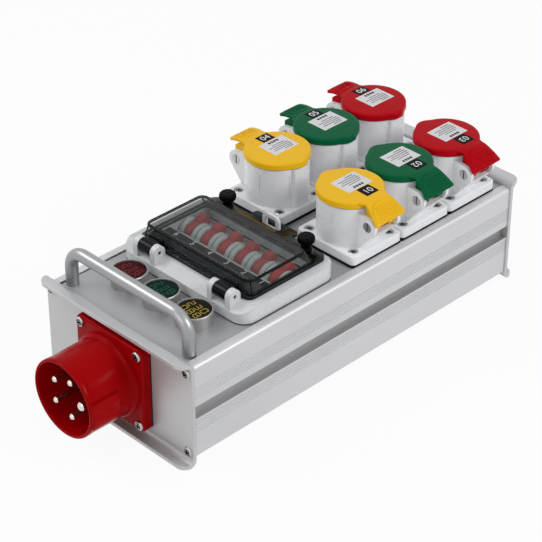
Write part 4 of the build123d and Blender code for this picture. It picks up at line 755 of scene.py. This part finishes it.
def label_strip():
    """Black label carrier on the breakers' noses that laps onto the frame, and the ribbed ledge before it."""
    carrier = Solid()
    lift = lambda u, v, w: Vector((X_FRONT + u, w, v))
    outline = [(92.1, NOSE_TOP), (100.8, NOSE_TOP), (100.8, NOSE_TOP + 0.35), (96.8, NOSE_TOP + 0.35),
               (96.8, LABEL_TOP - 0.2), (96.6, LABEL_TOP), (90.4, LABEL_TOP), (90.2, LABEL_TOP - 0.2),
               (92.1, LEDGE_TOP)]
    carrier.loft(plate_from(outline, -53.6, 53.6, lift))
    carrier.piece("label_carrier", "strip", "case", "strip_black", replaces=("label_strip",))
    ribs = Solid()
    plain, crest = LEDGE_TOP + 0.6, LEDGE_TOP + 1.5
    outline = [(75.6, LEDGE_TOP), (75.6, plain)]
    for k in range(7):
        foot = 76.2 + 2.0 * k
        outline += [(foot, plain), (foot + 0.25, crest), (foot + 0.95, crest), (foot + 1.2, plain)]
    outline += [(89.9, plain), (89.9, LEDGE_TOP)]
    ribs.loft(plate_from(outline, -54.6, 54.6, lift))
    ribs.piece("ledge_ribs", "ledge", "case", "strip_black")


def toggles():
    """Two-lobed rockers: a drum and a rounded knob, with soft side edges."""
    lean, reach, knob = math.radians(90 - 38.0), 12.0, 4.3
    drum, half_width = 9.3, 4.3
    axis = Vector((BREAKER_X, 0, BREAKER_AXIS_Z))
    for index, y in enumerate(BREAKER_Y):
        loops = []
        for share, inset in ((-1.0, 0.9), (-1.0, 0.25), (-0.93, 0.0), (0.93, 0.0), (1.0, 0.25), (1.0, 0.9)):
            loop = []
            for k in range(96):
                a = 2 * math.pi * k / 96
                off = (a - lean + math.pi) % (2 * math.pi) - math.pi
                radius, half = drum, half_width
                if abs(off) < math.asin(knob / reach):
                    far = reach * math.cos(off) + math.sqrt(knob ** 2 - (reach * math.sin(off)) ** 2)
                    radius = max(radius, far)
                half -= 0.5 * max(0.0, min((radius - drum) / 5.0, 1.0))
                radius -= inset
                loop.append(axis + Vector((radius * math.cos(a), y + share * half, radius * math.sin(a))))
            loops.append(loop)
        solid = Solid().loft(loops)
        number = index + 1
        solid.piece(f"rocker_{number}", "toggle", f"toggle_{number}", "toggle_red", smooth=40,
                    replaces=(f"toggle_{number}",))


def pin_slots():
    """Painted shade: dark bars on the floors of the slots in the lid pins' heads, in place of the slots'
    shadow.
    """
    slots = Solid()
    for x, side in OUTLETS:
        for out in (-1, 1):
            face = x + out * 14.0
            low, high = sorted((face - out * 0.58, face - out * 0.2))
            y, z = side * (ROW_Y + HINGE_OUT), HINGE_Z
            # painted shade: a thin dark bar in each slot
            slots.loft(plate_from(box_outline(y, z, 0.5, 3.5), low, high, lambda u, v, w: Vector((w, u, v))))
    slots.piece("lid_pin_slot_shade", "dark", "case", "steel_screws")


def barrel_fields():
    """Raised outline of a moulded field on each outlet's barrel."""
    skin, proud, middle_z = 24.9, 25.28, 112.0
    for number, (x, side) in enumerate(OUTLETS, start=1):
        solid = Solid()
        outer, inner = (rounded(24.0 + grow, 19.0 + grow, 1.6, steps=4) for grow in (0.4, -0.4))
        rings = []
        for (u, w, _), (p, q, _) in zip(outer, inner):
            ring = []
            for along, up, reach in ((u, w, skin), (u, w, proud), (p, q, proud), (p, q, skin)):
                a = math.radians(220) + along / 25.0
                ring.append(Vector((x + reach * math.cos(a), side * ROW_Y + reach * math.sin(a),
                                    middle_z + up)))
            rings.append(ring)
        solid.loft(rings, closed=True)
        solid.piece(f"barrel_field_{number}", "white", "case", "white_plastic")


# Lids. A lever's path is (out from the row, above Z_TOP), by the row's side

LEVERS = {
    -1: [(22.0, 47.2), (26.4, 47.4), (29.8, 46.2), (33.0, 44.2), (36.5, 41.6), (39.5, 39.0), (42.4, 36.3)],
    1: [(22.0, 46.6), (28.0, 46.7), (32.0, 46.4), (35.5, 45.8), (38.5, 45.0), (40.8, 44.1)],
}
LEVER_SPREAD = {-1: 4.7, 1: 0.6}
PAD_RISE = {-1: 1.15, 1: 0.35}
PAD_START, PAD_END, PAD_SPAN = 0.30, 0.94, 0.64
LID_RADIUS = 26.0
LEVER_THICKNESS = 2.3
LEVER_TIP = 1.8
DOME_TOP = 47.97
PRINT_HEIGHTS = (47.82, 47.99)


def lever_half(side, share):
    """Half width of a lever at a share of its length: a flared root, a neck and a wider end."""
    spread = LEVER_SPREAD[side] * max(0, (share - 0.15) / 0.85)
    return 11.3 + 2.6 * max(0, 1 - share / 0.25) ** 2 + spread


def smooth_path(points, steps):
    """Points on a Catmull-Rom line through the given ones."""
    line = []
    for k in range(len(points) - 1):
        p = [Vector(points[min(max(k + d, 0), len(points) - 1)]) for d in (-1, 0, 1, 2)]
        for s in range(steps):
            t = s / steps
            bend = (2 * p[0] - 5 * p[1] + 4 * p[2] - p[3]) * t * t
            twist = (3 * p[1] - p[0] - 3 * p[2] + p[3]) * t ** 3
            line.append(0.5 * ((2 * p[1]) + (p[2] - p[0]) * t + bend + twist))
    line.append(Vector(points[-1]))
    return line


def pad_lift(share):
    """How much further the lever's pad rises at a share of the lever's length: more near the root."""
    return 1.0 + 0.5 * (PAD_END - share) / PAD_SPAN


def lid(number, x, side, colour):
    """A domed lid with a beak, a curved lever with a dotted pad, hinge webs, and its label and number."""
    row = side * ROW_Y
    body = f"lid_{number}"
    slot = f"lid_{colour}"
    lift = lambda across, out, up: Vector((x + across, row + side * out, Z_TOP + up))
    solid = Solid()

    def ring(inset, height, round_only=None):
        points = []
        for k in range(120):
            a = 2 * math.pi * k / 120
            across, out = math.sin(a), math.cos(a)
            away = math.acos(max(-1, min(1, -out)))
            beak = 2.3 * (1 - min(away / 0.42, 1) ** 2) ** 2 if away < 0.42 else 0.0
            radius = round_only if round_only else LID_RADIUS + beak - inset
            points.append(lift(radius * across, radius * out, height))
        return points

    rings = [ring(0, 45.0, 0.05), ring(0, 45.0, 24.6), ring(0, 42.5, 24.7), ring(0, 42.2, 24.9)]
    for inset, height in ((0.35, 42.2), (0.0, 42.6), (0.0, 43.3), (0.16, 43.5), (0.16, 46.1), (0.4, 46.8),
                          (1.0, 47.25), (1.9, 47.42), (3.2, 47.46), (6, 47.56), (12, 47.74), (19, 47.9),
                          (25.9, 47.96)):
        rings.append(ring(inset, height))
    solid.loft(rings)

    path = smooth_path(LEVERS[side], 5)
    rings = []
    length = sum((b - a).length for a, b in zip(path[:-1], path[1:]))
    gone = 0.0
    for index, p in enumerate(path):
        if index:
            gone += (p - path[index - 1]).length
        share = gone / length
        along = (path[min(index + 1, len(path) - 1)] - path[max(index - 1, 0)]).normalized()
        normal = Vector((-along.y, along.x))
        half = lever_half(side, share)
        left = max(length - gone, 0.0)
        if left < LEVER_TIP:
            half += -LEVER_TIP + math.sqrt(max(LEVER_TIP ** 2 - (LEVER_TIP - left) ** 2, 0.04))
        outline = []
        for u, w, _ in rounded(2 * half, LEVER_THICKNESS, 0.7, steps=3):
            spot = p + normal * (w - LEVER_THICKNESS / 2)
            outline.append(lift(u, spot.x, spot.y))
        rings.append(outline)
    solid.loft(rings)

    pad = []
    bulge = PAD_RISE[side]
    for rise, inset in ((-0.3, 0.0), (0.35 * bulge, 0.15), (0.75 * bulge, 0.7), (0.85 * bulge, 1.6)):
        loop = []
        for sign, stretch in ((1, range(25)), (-1, range(24, -1, -1))):
            for k in stretch:
                share = PAD_START + PAD_SPAN * k / 24
                spot, normal = along_path(path, share)
                wide = lever_half(side, share) - 1.5
                front, rear = (math.sqrt(max(1 - (1 - min(gap, 1.0)) ** 2, 0.0))
                               for gap in ((share - PAD_START) / 0.20, (PAD_END - share) / 0.06))
                wide *= front * (0.8 + 0.2 * rear)
                wide = max(wide - inset, 0.05)
                up = rise * pad_lift(share)
                loop.append(lift(sign * wide, spot.x + normal.x * up, spot.y + normal.y * up))
        pad.append(loop)
    solid.loft(pad, caps=(False, True))
    for step in range(6):
        for column in range(9 - step % 2):
            share = 0.46 + 0.083 * step
            spot, normal = along_path(path, share)
            spot = spot + normal * 0.85 * bulge * pad_lift(share)
            across = (column - (8 - step % 2) / 2) * (2.0 + 0.16 * LEVER_SPREAD[side] * share)
            solid.loft(dot(lift, spot, normal, across, 0.8, 0.7), caps=(False, True))

    for low, high in ((-10.4, -4.9), (4.9, 10.4)):
        web = [(26.2, 33.6), (35.2, 33.6), (35.3, 39.8), (33.0, 41.8), (30.0, 43.6), (26.2, 44.8)]
        solid.loft(plate_from(web, low, high, lambda u, v, w: lift(w, u, v)))
        ring_turn = stand("+x", x + low, row + side * HINGE_OUT, HINGE_Z)
        solid.lathe([(2.15, 0), (5.0, 0), (5.0, high - low), (2.15, high - low)], 32, turn=ring_turn,
                    closed=True)
    solid.piece(f"lid_shell_{number}", colour, body, slot, smooth=38, replaces=(f"outlet_lid_{number}",))

    dome = lambda r: DOME_TOP - 0.0007 * r * r
    label = (-11.5, 8.0) if side < 0 else (-8.0, 11.0)
    mark = (8.6, 20.0) if side < 0 else (11.6, 21.6)
    sticker(f"lid_label_{number}", "paper", body, slot, lift, dome, (-9.5, 15.5), label)
    sticker(f"lid_mark_{number}", "print", body, slot, lift, dome, (-2.8, 9.6), mark)
    words_mesh(f"0{number}", 8.4, lift(3.4, sum(mark) / 2, 47.85), (0, side), "print_white",
               f"lid_number_{number}", body)
    lines = Solid()
    span = label[1] - label[0]
    for share, start, end in ((0.13, 0.16, 0.5), (0.25, 0.12, 0.86), (0.37, 0.10, 0.80), (0.49, 0.12, 0.9),
                              (0.61, 0.2, 0.7)):
        out = label[0] + span * share
        near, far = -9.5 + 25 * (1 - end), -9.5 + 25 * (1 - start)
        outline = [(near, out - 0.3), (far, out - 0.3), (far, out + 0.3), (near, out + 0.3)]
        lines.loft(plate_from(outline, *PRINT_HEIGHTS, lift))
    for k in range(4):
        block = box_outline(-0.6 + 2.7 * k, label[0] + span * 0.84, 1.0, 1.2)
        lines.loft(plate_from(block, *PRINT_HEIGHTS, lift))
    lines.piece(f"lid_lines_{number}", "print_grey", body, slot)


def sticker(name, look, body, slot, lift, dome, across, out):
    """A thin label that follows the lid's dome."""
    solid = Solid()
    steps = 8
    top, low = [], []
    for i in range(steps + 1):
        for j in range(steps + 1):
            u = across[0] + (across[1] - across[0]) * i / steps
            v = out[0] + (out[1] - out[0]) * j / steps
            height = min(dome(math.hypot(u, v)), DOME_TOP)
            top.append(lift(u, v, height))
            low.append(lift(u, v, height - 0.3))
    faces = []
    n = steps + 1
    for i in range(steps):
        for j in range(steps):
            faces.append([i * n + j, (i + 1) * n + j, (i + 1) * n + j + 1, i * n + j + 1])
    border = [i * n for i in range(n)] + [steps * n + j for j in range(1, n)]
    border += [i * n + steps for i in range(steps - 1, -1, -1)] + list(range(steps - 1, 0, -1))
    count = len(top)
    under = [[k + count for k in f][::-1] for f in faces]
    rim = [[here, there, there + count, here + count] for here, there in zip(border, border[1:] + border[:1])]
    solid.take(top + low, faces + under + rim)
    solid.piece(name, look, body, slot)


def dot(lift, spot, normal, across, radius, rise):
    """Rings of a small dome standing on a lever's surface."""
    rings = []
    turns = [2 * math.pi * j / 12 for j in range(12)]
    for k in range(5):
        a = math.radians(90 * k / 4)
        reach, up = radius * math.cos(a) + 0.02, rise * math.sin(a) - 0.1
        middle = spot + normal * up
        rings.append([lift(across + reach * math.sin(t), middle.x + reach * math.cos(t) * normal.y,
                           middle.y - reach * math.cos(t) * normal.x) for t in turns])
    return rings


def along_path(path, share):
    """The point and the upward normal at a share of a path's length."""
    spans = [(b - a).length for a, b in zip(path[:-1], path[1:])]
    want = share * sum(spans)
    for k, span in enumerate(spans):
        if want <= span:
            along = (path[k + 1] - path[k]).normalized()
            return path[k] + along * want, Vector((-along.y, along.x))
        want -= span
    return path[-1], Vector((0, 1))


# Fasteners, trim and stage

def fasteners():
    """Cross-head screws of the end plates, the inlet and the outlets."""
    plates = [(axis, face, y, z) for axis, face in (("-x", -149.25), ("+x", 192.75))
              for y in (-PLATE_SCREW_Y, PLATE_SCREW_Y) for z in (11.6, 79.4)]
    screws("plate_screw_heads", plates, 3.8, 1.9, ("end_plate_screws",))
    corners = (-INLET_SCREW_OUT, INLET_SCREW_OUT)
    inlets = [("-x", INLET_FACE_X, y, INLET_Z + dz) for y in corners for dz in corners]
    screws("inlet_screw_heads", inlets, 3.9, 2.0, ("inlet_screws",))
    outlets = [("+z", x + dx, side * ROW_Y + dy, OUTLET_FLANGE_TOP) for x, side in OUTLETS
               for dx in (-19.2, 19.2) for dy in (-22.4, 22.4)]
    screws("outlet_screw_heads", outlets, 3.3, 2.0, ("outlet_screws",))


def seal():
    """Amber strip on the cover's rear flange."""
    strip = Solid()
    outline = [(X_FRONT + 142.9, -9), (X_FRONT + 146.4, -9), (X_FRONT + 146.4, 33), (X_FRONT + 142.9, 33)]
    strip.loft(plate_from(outline, 100.0, 100.25, lambda u, v, w: Vector((u, v, w))))
    strip.piece("seal_strip", "amber", "cover", "smoked_cover")


def stage():
    """Matt floor that keeps the object's shadow and shows white behind it and in reflections."""
    look = Look("floor_white")
    look.set(Roughness=0.9, Specular_IOR_Level=0.1, Base_Color=(0.80, 0.80, 0.80))
    paths = look.add("ShaderNodeLightPath").outputs
    seen = look.math("MAXIMUM", look.math("MAXIMUM", paths["Is Camera Ray"], paths["Is Glossy Ray"]),
                     paths["Is Transmission Ray"])
    white = look.add("ShaderNodeEmission")
    blend = look.add("ShaderNodeMixShader")
    look.link(look.math("MULTIPLY", seen, 0.93), blend.inputs[0])
    look.link(look.shader.outputs[0], blend.inputs[1])
    look.link(white.outputs[0], blend.inputs[2])
    output = next(n for n in look.tree.nodes if n.type == "OUTPUT_MATERIAL")
    look.link(blend.outputs[0], output.inputs["Surface"])
    mesh = bpy.data.meshes.new("floor")
    reach, level = 6, -0.0004
    corners = [(-reach, -reach, level), (reach, -reach, level), (reach, reach, level), (-reach, reach, level)]
    mesh.from_pydata(corners, [], [[0, 1, 2, 3]])
    mesh.materials.append(look.material)
    floor = bpy.data.objects.new("floor", mesh)
    bpy.context.scene.collection.objects.link(floor)


def lamp(name, place, target, size, power):
    """Round area lamp, in metres and watts."""
    data = bpy.data.lights.new(name, "AREA")
    data.shape = "DISK"
    data.size = size
    data.energy = power
    obj = bpy.data.objects.new(name, data)
    aim = (Vector(target) - Vector(place)).to_track_quat("-Z", "Y")
    obj.matrix_world = Matrix.Translation(place) @ aim.to_matrix().to_4x4()
    bpy.context.scene.collection.objects.link(obj)


def lighting():
    """White world that lights the object at a low level, and three soft lamps."""
    world = bpy.data.worlds.new("world")
    bpy.context.scene.world = world
    world.use_nodes = True
    tree = world.node_tree
    background = tree.nodes["Background"]
    background.inputs["Color"].default_value = (1, 1, 1, 1)
    path = tree.nodes.new("ShaderNodeLightPath")
    seen = path.outputs["Is Camera Ray"]
    for ray in ("Is Glossy Ray", "Is Transmission Ray"):
        either = tree.nodes.new("ShaderNodeMath")
        either.operation = "MAXIMUM"
        tree.links.new(seen, either.inputs[0])
        tree.links.new(path.outputs[ray], either.inputs[1])
        seen = either.outputs[0]
    level = tree.nodes.new("ShaderNodeMapRange")
    level.inputs["To Min"].default_value = 0.42
    level.inputs["To Max"].default_value = 1.0
    tree.links.new(seen, level.inputs["Value"])
    tree.links.new(level.outputs["Result"], background.inputs["Strength"])
    lamp("key", (0.5, -1.6, 1.3), (0.02, 0, 0.06), 0.8, 17.0)
    lamp("front", (-1.6, -0.2, 0.9), (-0.05, 0, 0.05), 0.9, 4.0)
    lamp("top", (-0.70, 1.0, 1.25), (0, 0, 0.08), 0.8, 8.5)


handle()
inlet()
inlet_barrel()
meters()
thumbscrews()
cover_trim()
breakers()
label_strip()
toggles()
pin_slots()
barrel_fields()
for number, (x, side) in enumerate(OUTLETS, start=1):
    lid(number, x, side, ("yellow", "green", "red")[(number - 1) % 3])
fasteners()
seal()
stage()
lighting()
camera()

scene = bpy.context.scene
scene.view_settings.view_transform = "Standard"
